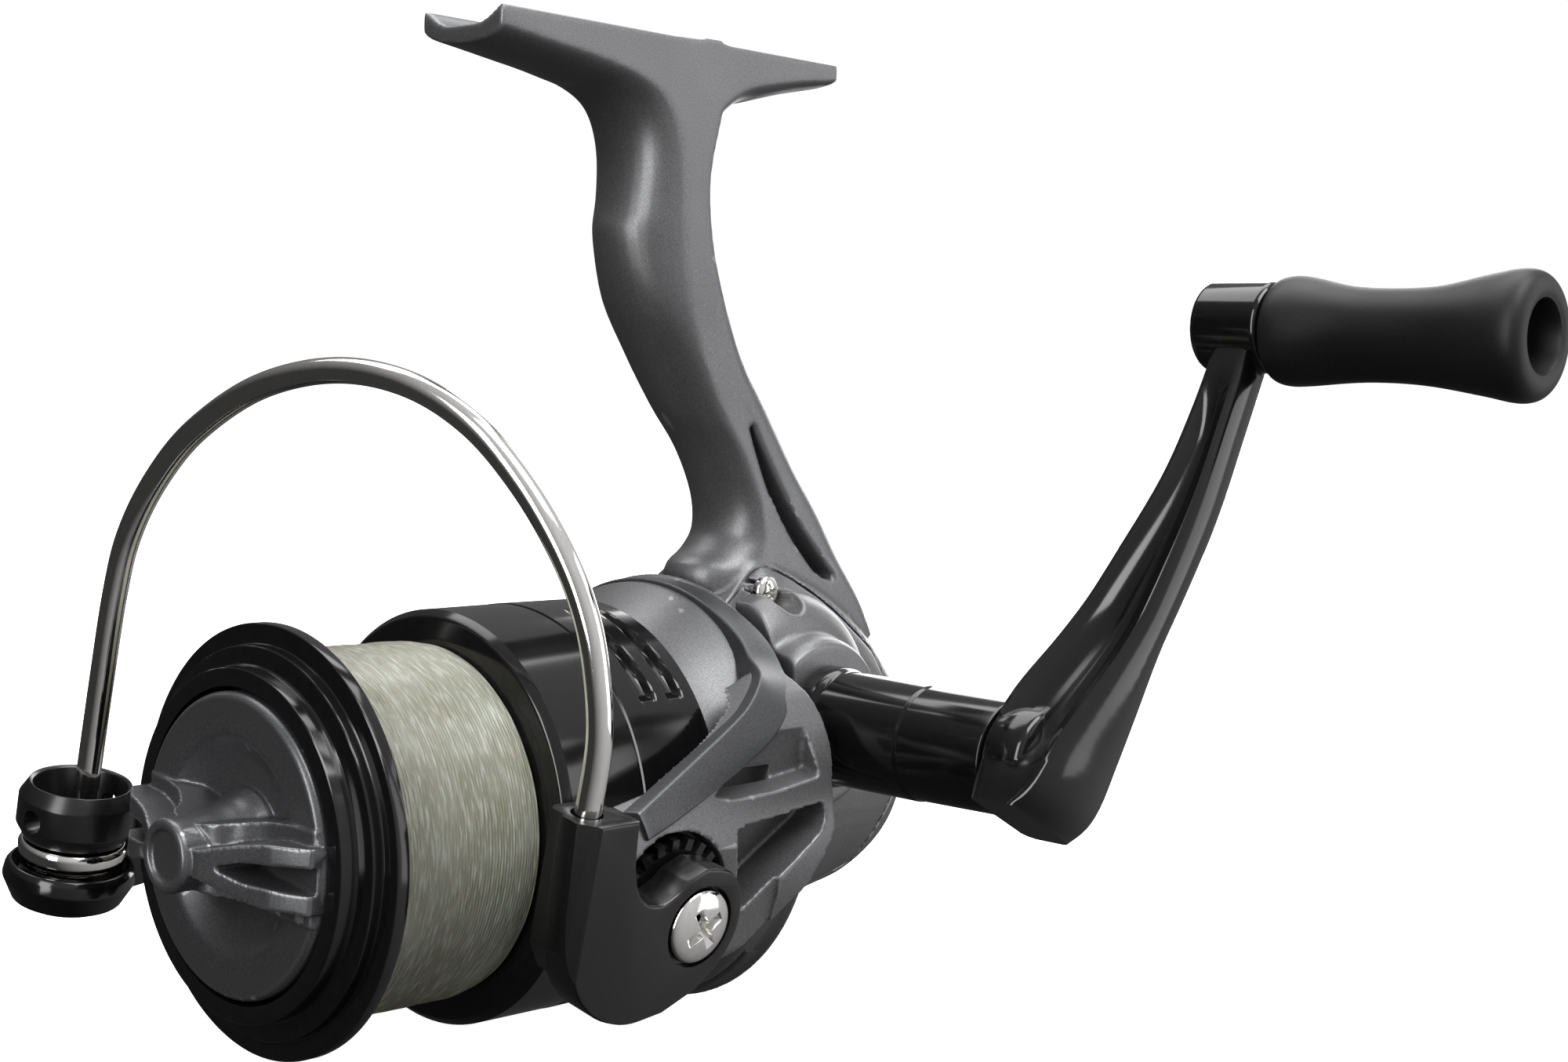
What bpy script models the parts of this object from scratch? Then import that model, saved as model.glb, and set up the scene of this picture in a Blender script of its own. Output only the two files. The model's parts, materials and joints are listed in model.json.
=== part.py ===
"""Spinning fishing reel: rod foot and gear housing, rotor with its bail, spool, drag and crank handle.

Lengths in this file are millimetres and MM turns them into metres. Shapes are drawn in the reel frame:
its origin is on the spool axis at the rear edge of the spool's front flange, the spool faces -Y, the
handle is on +X and the rod foot is above, on +Z. An empty places that frame so that the world origin
is the middle of the foot's rod seat. Rotor and bail pieces are drawn with the bail arms along X, and a
second empty turns them to the angle at which the rotor rests.
"""
import math

import bmesh
import bpy
from mathutils import Vector

MM = 0.001
GAP = 0.3

# Rod foot and stem
FOOT_TOP = 91.2
SADDLE_DEPTH = 1.8
SEAT_Z = FOOT_TOP - SADDLE_DEPTH
SEAT_Y = 49.6
HALF_WIDTH = 7.0

# Spool, measured from its axis
FLANGE_R = 23.4
LINE_R = 20.2
BARREL_R = 18.2
BARREL_END = 20.3
SKIRT_R = 23.8
SKIRT_END = 44.1
KNOB_DISC_R = 16.4
HUB_TIP = -14.0

# Rotor and bail
ROTOR_ANGLE = math.radians(11.3)
DRUM_R = 21.6
RIM_R = 26.4
ROTOR_REAR = 57.0
ARM_IN = 25.2
ARM_FACE = 31.0
PIVOT_Y = 29.3
PIVOT_X = 36.0
ROLLER_X = -32.2
ROLLER_Y = -4.5
WIRE_R = 1.4

# Gear train
DRIVE_Y = 65.0
DRIVE_Z = 9.5
DRIVE_TEETH = 26
PINION_TEETH = 5
MAIN_SHAFT_R = 2.0
PINION_R = 3.1
SPLIT_X = 7.2
NOSE_R = 22.3
NOSE_REAR = 58.4

# Handle, drawn upright and then leaned back about the drive axis
HANDLE_LEAN = math.radians(28.07)
THROW = 56.3
SLEEVE_R = 6.9


# ------------------------------------------------------------------ scene and helpers
def clear_scene():
    for obj in list(bpy.data.objects):
        bpy.data.objects.remove(obj, do_unlink=True)


def new_collection(name):
    collection = bpy.data.collections.new(name)
    bpy.context.scene.collection.children.link(collection)
    return collection


def new_empty(name, location, rotation, parent):
    empty = bpy.data.objects.new(name, None)
    PARTS.objects.link(empty)
    empty.location = Vector(location) * MM
    empty.rotation_euler = rotation
    empty.parent = parent
    return empty


def material(name, colour, roughness, metallic):
    made = bpy.data.materials.new(name)
    made.use_nodes = True
    shader = made.node_tree.nodes["Principled BSDF"]
    shader.inputs["Base Color"].default_value = (*colour, 1.0)
    shader.inputs["Roughness"].default_value = roughness
    shader.inputs["Metallic"].default_value = metallic
    return made


def spline(points, per_span=4):
    """A smooth curve through the points, which may have two or three coordinates."""
    padded = [points[0], *points, points[-1]]
    curve = []
    for before, start, end, after in zip(padded, padded[1:], padded[2:], padded[3:]):
        for step in range(per_span):
            t = step / per_span
            curve.append(tuple(
                0.5 * (2 * b + (c - a) * t + (2 * a - 5 * b + 4 * c - d) * t**2
                       + (3 * b - a - 3 * c + d) * t**3)
                for a, b, c, d in zip(before, start, end, after)))
    return curve + [tuple(points[-1])]


def arc(centre, radius, start, end, steps):
    """Points on an arc in a plane, with its angles in degrees."""
    angles = [math.radians(start + (end - start) * i / steps) for i in range(steps + 1)]
    return [(centre[0] + radius * math.cos(a), centre[1] + radius * math.sin(a)) for a in angles]


AXIS_TURNS = {"Z": (0, 0, 0), "Y": (-math.pi / 2, 0, 0), "X": (0, math.pi / 2, 0)}
FACE_TURNS = {"X": (math.pi / 2, 0, math.pi / 2), "Y": (math.pi / 2, 0, 0), "Z": (0, 0, 0)}


def add_object(name, data, finish, parent, cutter=False):
    obj = bpy.data.objects.new(name, data)
    (CUTTERS if cutter else PARTS).objects.link(obj)
    obj.parent = parent
    if cutter:
        obj.hide_render = True
        obj.display_type = "WIRE"
    else:
        obj.data.materials.append(finish)
    return obj


def smooth(obj, angle=32):
    obj.data.shade_smooth()
    obj.data.set_sharp_from_angle(angle=math.radians(angle))


def turned(name, profile, axis, finish, parent, centre=(0, 0, 0), steps=32, cutter=False):
    """A turned solid. The profile's points are (radius, place along the axis)."""
    area = sum(r0 * a1 - r1 * a0 for (r0, a0), (r1, a1) in zip(profile, profile[1:] + profile[:1]))
    points = profile if area < 0 else profile[::-1]
    mesh = bpy.data.meshes.new(name)
    ends_on_axis = min(points[0][0], points[-1][0]) == 0
    count = len(points)
    edges = [(i, i + 1) for i in range(count - 1)]
    if not ends_on_axis:
        edges.append((count - 1, 0))
    mesh.from_pydata([(r * MM, 0, a * MM) for r, a in points], edges, [])
    obj = add_object(name, mesh, finish, parent, cutter)
    obj.location = Vector(centre) * MM
    obj.rotation_euler = AXIS_TURNS[axis]
    screw = obj.modifiers.new("turn", "SCREW")
    screw.steps = steps
    screw.render_steps = steps
    screw.use_merge_vertices = True
    screw.merge_threshold = 0.00001
    return obj


def mesh_from_curve(curve_object):
    """The curve as a closed mesh, with its loose caps welded on. The curve itself is removed."""
    bpy.context.view_layer.update()
    graph = bpy.context.evaluated_depsgraph_get()
    mesh = bpy.data.meshes.new_from_object(curve_object.evaluated_get(graph))
    bpy.data.objects.remove(curve_object, do_unlink=True)
    edit = bmesh.new()
    edit.from_mesh(mesh)
    bmesh.ops.remove_doubles(edit, verts=edit.verts, dist=0.000001)
    edit.to_mesh(mesh)
    edit.free()
    return mesh


def plate(name, outline, low, high, axis, finish, parent, cutter=False):
    """A flat plate. Its outline lies across the axis: (y, z) for X, (x, z) for Y and (x, y) for Z."""
    curve = bpy.data.curves.new(name, "CURVE")
    curve.dimensions = "2D"
    curve.fill_mode = "BOTH"
    curve.extrude = (high - low) / 2 * MM
    edge = curve.splines.new("POLY")
    edge.points.add(len(outline) - 1)
    for point, (u, v) in zip(edge.points, outline):
        point.co = (u * MM, v * MM, 0, 1)
    edge.use_cyclic_u = True
    drawn = bpy.data.objects.new(name, curve)
    CUTTERS.objects.link(drawn)
    mesh = mesh_from_curve(drawn)
    obj = add_object(name, mesh, finish, parent, cutter)
    obj.rotation_euler = FACE_TURNS[axis]
    obj.location["XYZ".index(axis)] = (low + high) / 2 * MM
    return obj


def box(name, low, high, finish, parent, cutter=False):
    bpy.ops.mesh.primitive_cube_add(size=1)
    mesh = bpy.context.object.data
    bpy.data.objects.remove(bpy.context.object, do_unlink=True)
    size = Vector(high) - Vector(low)
    for vertex in mesh.vertices:
        vertex.co = Vector([c * s * MM for c, s in zip(vertex.co, size)])
    obj = add_object(name, mesh, finish, parent, cutter)
    obj.location = (Vector(low) + Vector(high)) / 2 * MM
    return obj


def loft(name, sections, finish, parent, cutter=False):
    """A closed skin over rings of points, with flat ends."""
    mesh = bpy.data.meshes.new(name)
    count = len(sections[0])
    points = [[c * MM for c in point] for section in sections for point in section]
    faces = [tuple(range(count))[::-1], tuple(range((len(sections) - 1) * count, len(sections) * count))]
    for level in range(len(sections) - 1):
        for i in range(count):
            j = (i + 1) % count
            base = level * count
            faces.append((base + i, base + j, base + count + j, base + count + i))
    mesh.from_pydata(points, [], faces)
    edit = bmesh.new()
    edit.from_mesh(mesh)
    bmesh.ops.recalc_face_normals(edit, faces=edit.faces)
    edit.to_mesh(mesh)
    edit.free()
    return add_object(name, mesh, finish, parent, cutter)


def tube(name, points, radius, finish, parent):
    curve = bpy.data.curves.new(name, "CURVE")
    curve.dimensions = "3D"
    curve.bevel_depth = radius * MM
    curve.bevel_resolution = 2
    curve.use_fill_caps = True
    line = curve.splines.new("POLY")
    line.points.add(len(points) - 1)
    for point, place in zip(line.points, points):
        point.co = (*[c * MM for c in place], 1)
    return add_object(name, curve, finish, parent)


def combine(obj, other, operation):
    change = obj.modifiers.new(operation.lower(), "BOOLEAN")
    change.operation = operation
    change.object = other
    change.solver = "EXACT"


def cut(obj, *others):
    for other in others:
        combine(obj, other, "DIFFERENCE")


def join(obj, *others):
    for other in others:
        combine(obj, other, "UNION")


def ring(inner, outer, low, high):
    """The profile of a plain ring."""
    return [(inner, high), (outer, high), (outer, low), (inner, low)]


def rod(radius, low, high):
    return [(0, high), (radius, high), (radius, low), (0, low)]


# ------------------------------------------------------------------ frame: foot, stem and gear housing
def stem_section(front, rear, front_bulge, rear_bulge, half_width=HALF_WIDTH):
    """One ring of the stem: flat sides and a rounded front and rear between paired edge points."""
    along = Vector((0, rear[0] - front[0], rear[1] - front[1])).normalized()
    points = []
    for edge, bulge, side in ((front, front_bulge, -1), (rear, rear_bulge, 1)):
        for step in range(7):
            angle = math.pi * step / 6
            x = side * half_width * math.cos(angle)
            centre = Vector((x, edge[0], edge[1]))
            points.append(tuple(centre + along * side * bulge * math.sin(angle)))
    return points


# Pairs of front and rear edge points (y, z), how far each face bulges between its edges, and half widths
FOOT_AND_STEM = [
    ((21.9, 89.3), (21.9, 91.2), 1.9, 0.0), ((29.0, 88.4), (29.0, 91.2), 2.0, 0.0),
    ((37.0, 87.5), (38.0, 91.2), 2.4, 0.0), ((43.1, 86.3), (49.0, 91.2), 3.2, 0.0),
    ((47.6, 84.2), (57.5, 91.2), 4.0, 0.0), ((50.3, 80.0), (57.0, 84.0), 5.2, 0.6),
    ((51.7, 74.0), (55.2, 75.6), 6.9, 1.0), ((52.2, 68.0), (55.7, 68.4), 7.4, 1.2),
    ((52.9, 60.5), (57.6, 61.2), 5.6, 2.4), ((55.7, 53.6), (61.0, 53.6), 3.9, 4.0, 6.6),
    ((60.0, 47.2), (65.4, 47.4), 3.7, 5.0, 6.1), ((64.3, 41.6), (71.0, 40.3), 3.6, 5.4, 6.0),
    ((67.4, 36.0), (75.6, 34.5), 3.6, 5.8, 6.1), ((68.6, 31.4), (79.6, 29.0), 4.4, 5.6, 6.4),
    ((68.2, 28.4), (82.0, 25.8), 6.2, 5.2, 6.8), ((66.8, 25.4), (84.8, 22.4), 8.2, 4.4), ((65.0, 19.0), (88.0, 17.5), 5.0, 3.4),
]
# Gear housing rings: place along Y, lowest and highest Z and half width
HOUSING_RINGS = [
    (58.4, -21.8, 22.2, 20.5), (61.0, -21.4, 24.6, 17.4), (66.0, -19.6, 29.4, 14.8), (72.0, -17.8, 28.6, 13.6),
    (79.0, -16.4, 25.8, 12.6), (86.0, -15.0, 21.0, 11.6), (92.4, -11.4, 14.8, 9.8), (98.2, -4.8, 8.6, 5.8),
]
COVER_OUTLINE = [
    (58.9, -15.0), (66.0, -16.0), (76.0, -15.2), (84.6, -12.2), (91.0, -2.5), (89.8, 9.6), (86.3, 15.9),
    (80.3, 20.2), (76.3, 22.9), (70.9, 25.9), (66.5, 27.8), (58.9, 28.2),
]
SCREW_PLACES = [(64.2, 24.9), (85.4, 8.6), (70.0, -12.6)]


def housing_ring(place, low, high, half_width, inset=0.0, count=22):
    """A soft-cornered oval across the housing."""
    middle = (low + high) / 2
    points = []
    for i in range(count):
        angle = 2 * math.pi * i / count
        c, s = math.cos(angle), math.sin(angle)
        x = math.copysign(abs(c) ** 0.8, c) * (half_width - inset)
        z = math.copysign(abs(s) ** 0.8, s) * ((high - low) / 2 - inset)
        points.append((x, place, middle + z))
    return points


def body_housing(parent):
    body = loft("body_housing", [stem_section(*row) for row in FOOT_AND_STEM], GRAPHITE, parent)
    rear_underside = spline([(77.3, 89.4), (70.0, 88.6), (62.0, 87.0), (57.4, 84.2), (54.2, 80.4)], 3)
    rear_rings = []
    for y, z in rear_underside:
        bulge = 1.0 + 1.4 * min(1.0, (77.3 - y) / 12)
        low = [((HALF_WIDTH + 0.06) * math.cos(math.radians(a)), y, z - bulge * math.sin(math.radians(a)))
               for a in range(0, 181, 30)]
        rear_rings.append([(HALF_WIDTH + 0.06, y, FOOT_TOP), *low, (-HALF_WIDTH - 0.06, y, FOOT_TOP)])
    rear_foot = loft("rear_foot_form", rear_rings, None, parent, cutter=True)
    case = loft("case_form", [housing_ring(*row) for row in HOUSING_RINGS], None, parent, cutter=True)
    nose = turned("nose_form", [(0, 60.4), (NOSE_R, 57.7), (NOSE_R, 54.6), (19.0, 49.4), (10.4, 48.6), (10.4, 46.5),
                                (0, 46.5)], "Y", None, parent, steps=30, cutter=True)
    left_boss = turned("left_boss_form", [(0, -9.0), (10.4, -9.0), (10.4, -18.8), (9.4, -20.9), (0, -20.9)], "X",
                       None, parent, centre=(0, DRIVE_Y, DRIVE_Z), steps=20, cutter=True)
    join(body, rear_foot, case, nose, left_boss)
    clearance = turned("rotor_clearance", ring(NOSE_R + 0.2, 40, 30, NOSE_REAR - 0.1), "Y", None, parent,
                       steps=30, cutter=True)
    cut(body, clearance, cover_space(parent), *housing_voids(parent), *foot_cutters(parent))
    return body


def cover_space(parent):
    grown = [(y + (GAP if y > 60 else -GAP), z + (GAP if z > 0 else -GAP)) for y, z in COVER_OUTLINE]
    return plate("cover_space", grown, SPLIT_X - GAP, 40, "X", None, parent, cutter=True)


def housing_voids(parent):
    wall = 1.8
    rows = [(58.0, -19.0, 20.5, 19.0), *[row for row in HOUSING_RINGS[1:6]], (93.2, -9.6, 13.4, 9.0)]
    # The inner hollow stops below the stem root, so its roof follows the drive gear and not the outside
    rings = [housing_ring(y, low, min(high, 24.4), half, inset=wall) for y, low, high, half in rows]
    hollow = loft("housing_hollow", rings, None, parent, cutter=True)
    nose_hollow = turned("nose_hollow", [(10.6, 59.0), (20.4, 59.0), (20.4, 55.2), (17.6, 51.0), (10.6, 50.4)], "Y",
                         None, parent, steps=24, cutter=True)
    bearing_bore = turned("front_bearing_bore", rod(8.4, 40, 53.3), "Y", None, parent, steps=18, cutter=True)
    pinion_bore = turned("pinion_room", rod(5.6, 50, 60), "Y", None, parent, steps=14, cutter=True)
    gear_room = turned("gear_room", rod(11.9, 4.5, 7.15), "X", None, parent, centre=(0, DRIVE_Y, DRIVE_Z), steps=24,
                       cutter=True)
    drive_bore = turned("left_bearing_bore", rod(5.5, -24, -6), "X", None, parent, centre=(0, DRIVE_Y, DRIVE_Z),
                        steps=16, cutter=True)
    tail = plate("tail_opening", [(-6.0, -4.5), (6.0, -4.5), (6.0, 8.0), (-6.0, 8.0)], 90, 102, "Y", None, parent,
                 cutter=True)
    tail_trim = box("tail_trim", (-20, 94.7, -20), (20, 110, 30), None, parent, cutter=True)
    posts = [turned(f"post_bore_{i}", rod(1.2, 1.0, 12), "X", None, parent, centre=(0, y, z), steps=8, cutter=True)
             for i, (y, z) in enumerate(SCREW_PLACES)]
    return [hollow, nose_hollow, bearing_bore, pinion_bore, gear_room, drive_bore, tail, tail_trim, *posts]


def foot_cutters(parent):
    """The saddle for the rod with its flat centre land, and the window recess on each side of the stem."""
    half_land, chord = 2.0, 6.3
    side = spline([(half_land, SEAT_Z), (4.2, SEAT_Z + 0.5), (chord, FOOT_TOP + 0.05), (7.2, FOOT_TOP + 1.2)], 3)
    outline = [(x, z) for x, z in side] + [(7.2, 96), (-7.2, 96)] + [(-x, z) for x, z in reversed(side)]
    saddle = plate("rod_saddle", outline, 10, 90, "Y", None, parent, cutter=True)
    right_edge = spline([(62.6, 50.0), (66.6, 43.6), (73.8, 33.6), (81.6, 25.2)], 4)
    left_edge = spline([(81.6, 25.2), (77.6, 26.2), (72.6, 31.4), (68.0, 38.2), (62.6, 50.0)], 4)
    window = right_edge + left_edge[1:-1]
    sides = [plate(f"window_{i}", window, *reach, "X", None, parent, cutter=True)
             for i, reach in enumerate(((2.6, 14), (-14, -2.6)))]
    return [saddle, *sides]


def side_cover(parent):
    cover = loft("side_cover", [housing_ring(*row) for row in HOUSING_RINGS], GRAPHITE, parent)
    reach = plate("cover_reach", COVER_OUTLINE, SPLIT_X, 40, "X", None, parent, cutter=True)
    combine(cover, reach, "INTERSECT")
    boss = turned("boss_form", [(0, 10.0), (15.4, 10.0), (15.4, 13.0), (13.8, 15.6), (12.2, 16.8), (10.6, 18.6),
                                (10.0, 20.6), (0, 20.6)], "X", None, parent, centre=(0, DRIVE_Y, DRIVE_Z),
                  steps=28, cutter=True)
    join(cover, boss)
    trim = box("cover_front_trim", (0, 30, -40), (40, 58.9, 50), None, parent, cutter=True)
    hub_pocket = turned("cover_pocket", rod(11.0, 0, 13.4), "X", None, parent, centre=(0, DRIVE_Y, DRIVE_Z),
                        steps=20, cutter=True)
    bearing_seat = turned("right_bearing_seat", rod(5.5, 5, 30), "X", None, parent,
                          centre=(0, DRIVE_Y, DRIVE_Z), steps=16, cutter=True)
    stem_gap = loft("stem_gap", [stem_section(*row) for row in FOOT_AND_STEM[-5:]], None, parent, cutter=True)
    bores = []
    for i, (y, z) in enumerate(SCREW_PLACES):
        seat = 9.4
        bores.append(turned(f"screw_bore_{i}", [(0, 30), (2.3, 30), (2.3, seat), (1.2, seat), (1.2, 0), (0, 0)], "X",
                            None, parent, centre=(0, y, z), steps=12, cutter=True))
    cut(cover, trim, hub_pocket, bearing_seat, stem_gap, *bores)
    return cover


def screw(name, head_r, head_h, shank_r, length, axis, finish, parent, centre, toward=1):
    """A pan-head screw whose head underside is at the centre, with its head toward one end of the axis."""
    profile = [(0, head_h), (head_r * 0.6, head_h * 0.9), (head_r, head_h * 0.3), (head_r, 0), (shank_r, 0),
               (shank_r, -length), (0, -length)]
    made = turned(name, [(r, a * toward) for r, a in profile], axis, finish, parent, centre=centre, steps=14)
    slots = []
    for i, turn in enumerate((45, 135)):
        span, width = head_r * 0.62, head_r * 0.12
        if axis == "X":
            low = (head_h * 0.45, -span, -width)
            high = (head_h * 2, span, width)
        else:
            low = (-span, -width, head_h * 0.45)
            high = (span, width, head_h * 2)
        if toward < 0:
            flip = 0 if axis == "X" else 2
            low, high = list(low), list(high)
            low[flip], high[flip] = -high[flip], -low[flip]
        slot = box(f"{name}_slot_{i}", low, high, None, parent, cutter=True)
        offset = slot.location.copy()
        slot.rotation_euler = (math.radians(turn), 0, 0) if axis == "X" else (0, 0, math.radians(turn))
        slot.location = Vector(centre) * MM + offset
        slots.append(slot)
    cut(made, *slots)
    return made


def tail_cover(parent):
    rings = [housing_ring(*row) for row in HOUSING_RINGS[-2:]]
    cap = loft("rear_cover", rings, GRAPHITE_DARK, parent)
    cut(cap, box("rear_cover_trim", (-20, 80, -20), (20, 95.0, 30), None, parent, cutter=True))
    plug = box("rear_cover_plug", (-5.6, 93.0, -4.1), (5.6, 95.6, 7.6), None, parent, cutter=True)
    join(cap, plug)
    return cap


def bearings(parent):
    turned("front_bearing", ring(3.4, 8.1, 46.9, 49.6), "Y", STEEL, parent, steps=18)
    turned("bearing_retainer", ring(4.4, 9.8, 44.6, 46.2), "Y", STEEL, parent, steps=18)
    turned("anti_reverse_clutch", ring(3.4, 8.1, 49.9, 53.0), "Y", STEEL, parent, steps=18)
    centre = (0, DRIVE_Y, DRIVE_Z)
    turned("drive_bearing_right", ring(3.3, 5.2, 15.6, 19.4), "X", STEEL, parent, centre=centre, steps=16)
    turned("drive_bearing_left", ring(3.3, 5.2, -13.4, -9.8), "X", STEEL, parent, centre=centre, steps=16)
    turned("handle_cap", [(0, -17.6), (5.2, -17.6), (5.2, -21.2), (6.1, -21.2), (6.1, -22.6), (5.2, -23.4),
                          (0, -23.4)], "X", GLOSS_BLACK, parent, centre=centre, steps=20)


def shaft_bracket(parent):
    bracket = box("shaft_bracket", (-4.6, 69.4, -7.6), (4.3, 71.6, 7.6), STEEL, parent)
    bore = turned("bracket_bore", rod(4.1, 60, 80), "Y", None, parent, steps=14, cutter=True)
    cut(bracket, bore, *[turned(f"bracket_rod_{i}", rod(1.2, 60, 80), "Y", None, parent, centre=(ROD_X, 0, z), steps=8,
                                cutter=True) for i, z in enumerate(ROD_HEIGHTS)])
    turned("pinion_bush", ring(3.2, 3.8, 69.4, 71.6), "Y", BRASS, parent, steps=14)


ROD_X = 2.0
ROD_HEIGHTS = (-5.3, 5.3)


def guide_rods(parent):
    for name, z in zip(("guide_rod_lower", "guide_rod_upper"), ROD_HEIGHTS):
        turned(name, rod(0.9, 69.0, 89.2), "Y", STEEL, parent, centre=(ROD_X, 0, z), steps=8)


# ------------------------------------------------------------------ gear train
def gear_outline(teeth, root, tip):
    """A gear's outline with straight-sided teeth."""
    points = []
    for tooth in range(teeth):
        for share, radius in ((0.0, root), (0.3, root), (0.42, tip), (0.78, tip), (0.9, root)):
            angle = 2 * math.pi * (tooth + share) / teeth
            if share == 0.3 or share == 0.9 or radius == tip:
                points.append((radius * math.cos(angle), radius * math.sin(angle)))
    return points


def drive_gear(parent):
    """The big gear with its face toward the pinion, on the shaft that runs out into the handle."""
    gear = plate("drive_gear", gear_outline(DRIVE_TEETH, 10.4, 11.6), 4.9, 6.7, "X", BRASS, parent)
    shaft = turned("drive_shaft_form", [(0, 46.0), (3.0, 46.0), (3.0, 8.6), (5.0, 8.2), (5.0, 4.7), (3.0, 4.5),
                                        (3.0, -13.2), (0, -13.2)], "X", None, parent, steps=12, cutter=True)
    small = plate("small_gear_form", gear_outline(12, 3.2, 4.2), -8.0, -5.6, "X", None, parent, cutter=True)
    join(gear, shaft, small)
    return gear


def oscillation_gear(parent):
    gear = plate("oscillation_gear", gear_outline(27, 8.1, 9.1), -7.6, -6.0, "X", ALUMINIUM, parent)
    crank = turned("crank_pin_form", rod(1.3, -6.6, -5.0), "X", None, parent, centre=(0, 6.0, 0), steps=12, cutter=True)
    join(gear, crank)
    cut(gear, turned("oscillation_bore", rod(1.6, -12, 0), "X", None, parent, steps=16, cutter=True))
    return gear


def oscillation_post(parent):
    return turned("oscillation_post", rod(1.3, -8.6, -5.0), "X", STEEL, parent, centre=(0, *OSCILLATION_AXIS), steps=14)


OSCILLATION_AXIS = (75.7, 1.0)


def pinion(parent):
    body = turned("pinion_gear", [(2.3, 71.2), (2.9, 71.2), (2.9, 68.8), (3.6, 68.8), (3.6, 59.2), (PINION_R, 59.0),
                                  (PINION_R, 43.0), (2.9, 42.6), (2.9, 33.2), (2.3, 33.2)], "Y", BRASS, parent, steps=14)
    levels = 4
    rings = []
    for level in range(levels):
        y = 59.4 + 9.0 * level / (levels - 1)
        twist = math.radians(110) * level / (levels - 1)
        outline = gear_outline(PINION_TEETH, 3.2, 4.4)
        rings.append([(x * math.cos(twist) - z * math.sin(twist), y, x * math.sin(twist) + z * math.cos(twist))
                      for x, z in outline])
    teeth = loft("pinion_teeth_form", rings, None, parent, cutter=True)
    bore = turned("pinion_bore", rod(2.3, 50, 80), "Y", None, parent, steps=14, cutter=True)
    join(body, teeth)
    cut(body, bore)
    return body


# ------------------------------------------------------------------ rotor
def arm_outline():
    """Side view of a bail arm, as (y, z): the pivot hub in front and the truss that runs back to the rim."""
    hub = arc((PIVOT_Y, 0), 10.4, 300, 140, 8)
    top = spline([(20.8, 9.6), (26.0, 12.4), (33.0, 15.0), (40.0, 17.8), (45.0, 20.4), (49.6, 22.8), (54.0, 22.6)], 2)
    return hub + top + [(54.9, 9.6), (54.6, 5.4), (51.2, 0.0), (41.8, -7.2)]


def arm_pockets(parent, side):
    upper = [(33.6, 12.2), (37.2, 15.2), (46.0, 17.4), (50.6, 16.6), (51.4, 13.4)]
    lower = [(38.8, 5.6), (39.8, 8.2), (42.6, 9.2), (52.2, 10.0), (53.0, 7.2), (50.0, 2.4), (41.6, -4.0), (40.2, -2.2)]
    reach = (27.6, 40) if side > 0 else (-40, -27.6)
    upper, lower = ([(y, z * side) for y, z in outline] for outline in (upper, lower))
    return [plate(f"pocket_{name}_{side}", outline, *reach, "X", None, parent, cutter=True)
            for name, outline in (("upper", upper), ("lower", lower))]


def arm_envelope():
    """Front view of the arms' outer surface. On one side of each arm it draws in toward the rotor's rim."""
    reaches = [(angle, 31.7) for angle in range(-38, 22, 6)]
    reaches += [(26, 31.4), (33, 31.1), (41, 30.2), (47, 28.6), (54, 26.9), (64, 26.0)]
    return both_arms(reaches)


def arm_hollow():
    """Front view of the room inside the arms, which thins them where they sweep back to the rim."""
    reaches = [(angle, ARM_IN) for angle in range(-38, 12, 6)]
    return both_arms(reaches + [(15, 28.8), (26, 28.6), (33, 28.3), (41, 27.4), (47, 25.8), (54, 24.6), (64, 24.0)])


def both_arms(reaches):
    turns = [(math.radians(angle + half), reach) for half in (0, 180) for angle, reach in reaches]
    return [(reach * math.cos(turn), reach * math.sin(turn)) for turn, reach in turns]


def rotor(parent):
    profile = [
        (20.4, 25.8), (20.9, 25.2), (DRUM_R, 25.8), (DRUM_R, 45.2), (22.6, 47.0), (25.0, 51.6), (25.5, 52.6),
        (25.6, 55.0), (RIM_R, 56.6), (RIM_R - 0.3, ROTOR_REAR), (25.0, ROTOR_REAR), (24.0, 53.6), (20.8, 46.4),
        (20.4, 42.2), (7.0, 42.2), (7.0, 43.9), (3.4, 43.9), (3.4, 36.5), (7.4, 36.5), (7.4, 39.8), (20.4, 39.8),
    ]
    body = turned("rotor", profile, "Y", GRAPHITE, parent, steps=36)
    inner = plate("arm_inner_clearance", arm_hollow(), 10, 47.0, "Y", None, parent, cutter=True)
    shell = plate("arm_outer_form", arm_envelope(), 10, 58, "Y", None, parent, cutter=True)
    cavity = turned("cup_cavity", [(0, 60), (25.2, 60), (25.2, ROTOR_REAR), (24.2, 53.6), (21.0, 46.5), (0, 46.5)], "Y",
                    None, parent, steps=36, cutter=True)
    cutters = [cavity]
    for side, name in ((1, "near"), (-1, "far")):
        reach = (18, 33.2) if side > 0 else (-33.2, -18)
        outline = [(y, z * side) for y, z in arm_outline()]
        arm = plate(f"{name}_arm_form", outline, *reach, "X", None, parent, cutter=True)
        combine(arm, shell, "INTERSECT")
        flat = [(4, -30), (46, -30), (46, 30), (4, 30)]
        face = plate(f"{name}_pivot_face", flat, *sorted((side * ARM_FACE, side * 60)), "X", None, parent,
                     cutter=True)
        recess = turned(f"{name}_hub_recess", ring(3.0, 8.6, *sorted((side * 28.0, side * 50))), "X", None, parent,
                        centre=(0, PIVOT_Y, 0), steps=16, cutter=True)
        bore = turned(f"{name}_pivot_bore", rod(1.5, *sorted((side * 25.9, side * 50))), "X", None, parent,
                      centre=(0, PIVOT_Y, 0), steps=10, cutter=True)
        cut(arm, inner)
        join(body, arm)
        cutters += [face, recess, bore, *arm_pockets(parent, side)]
    cut(body, *cutters)
    return body


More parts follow.
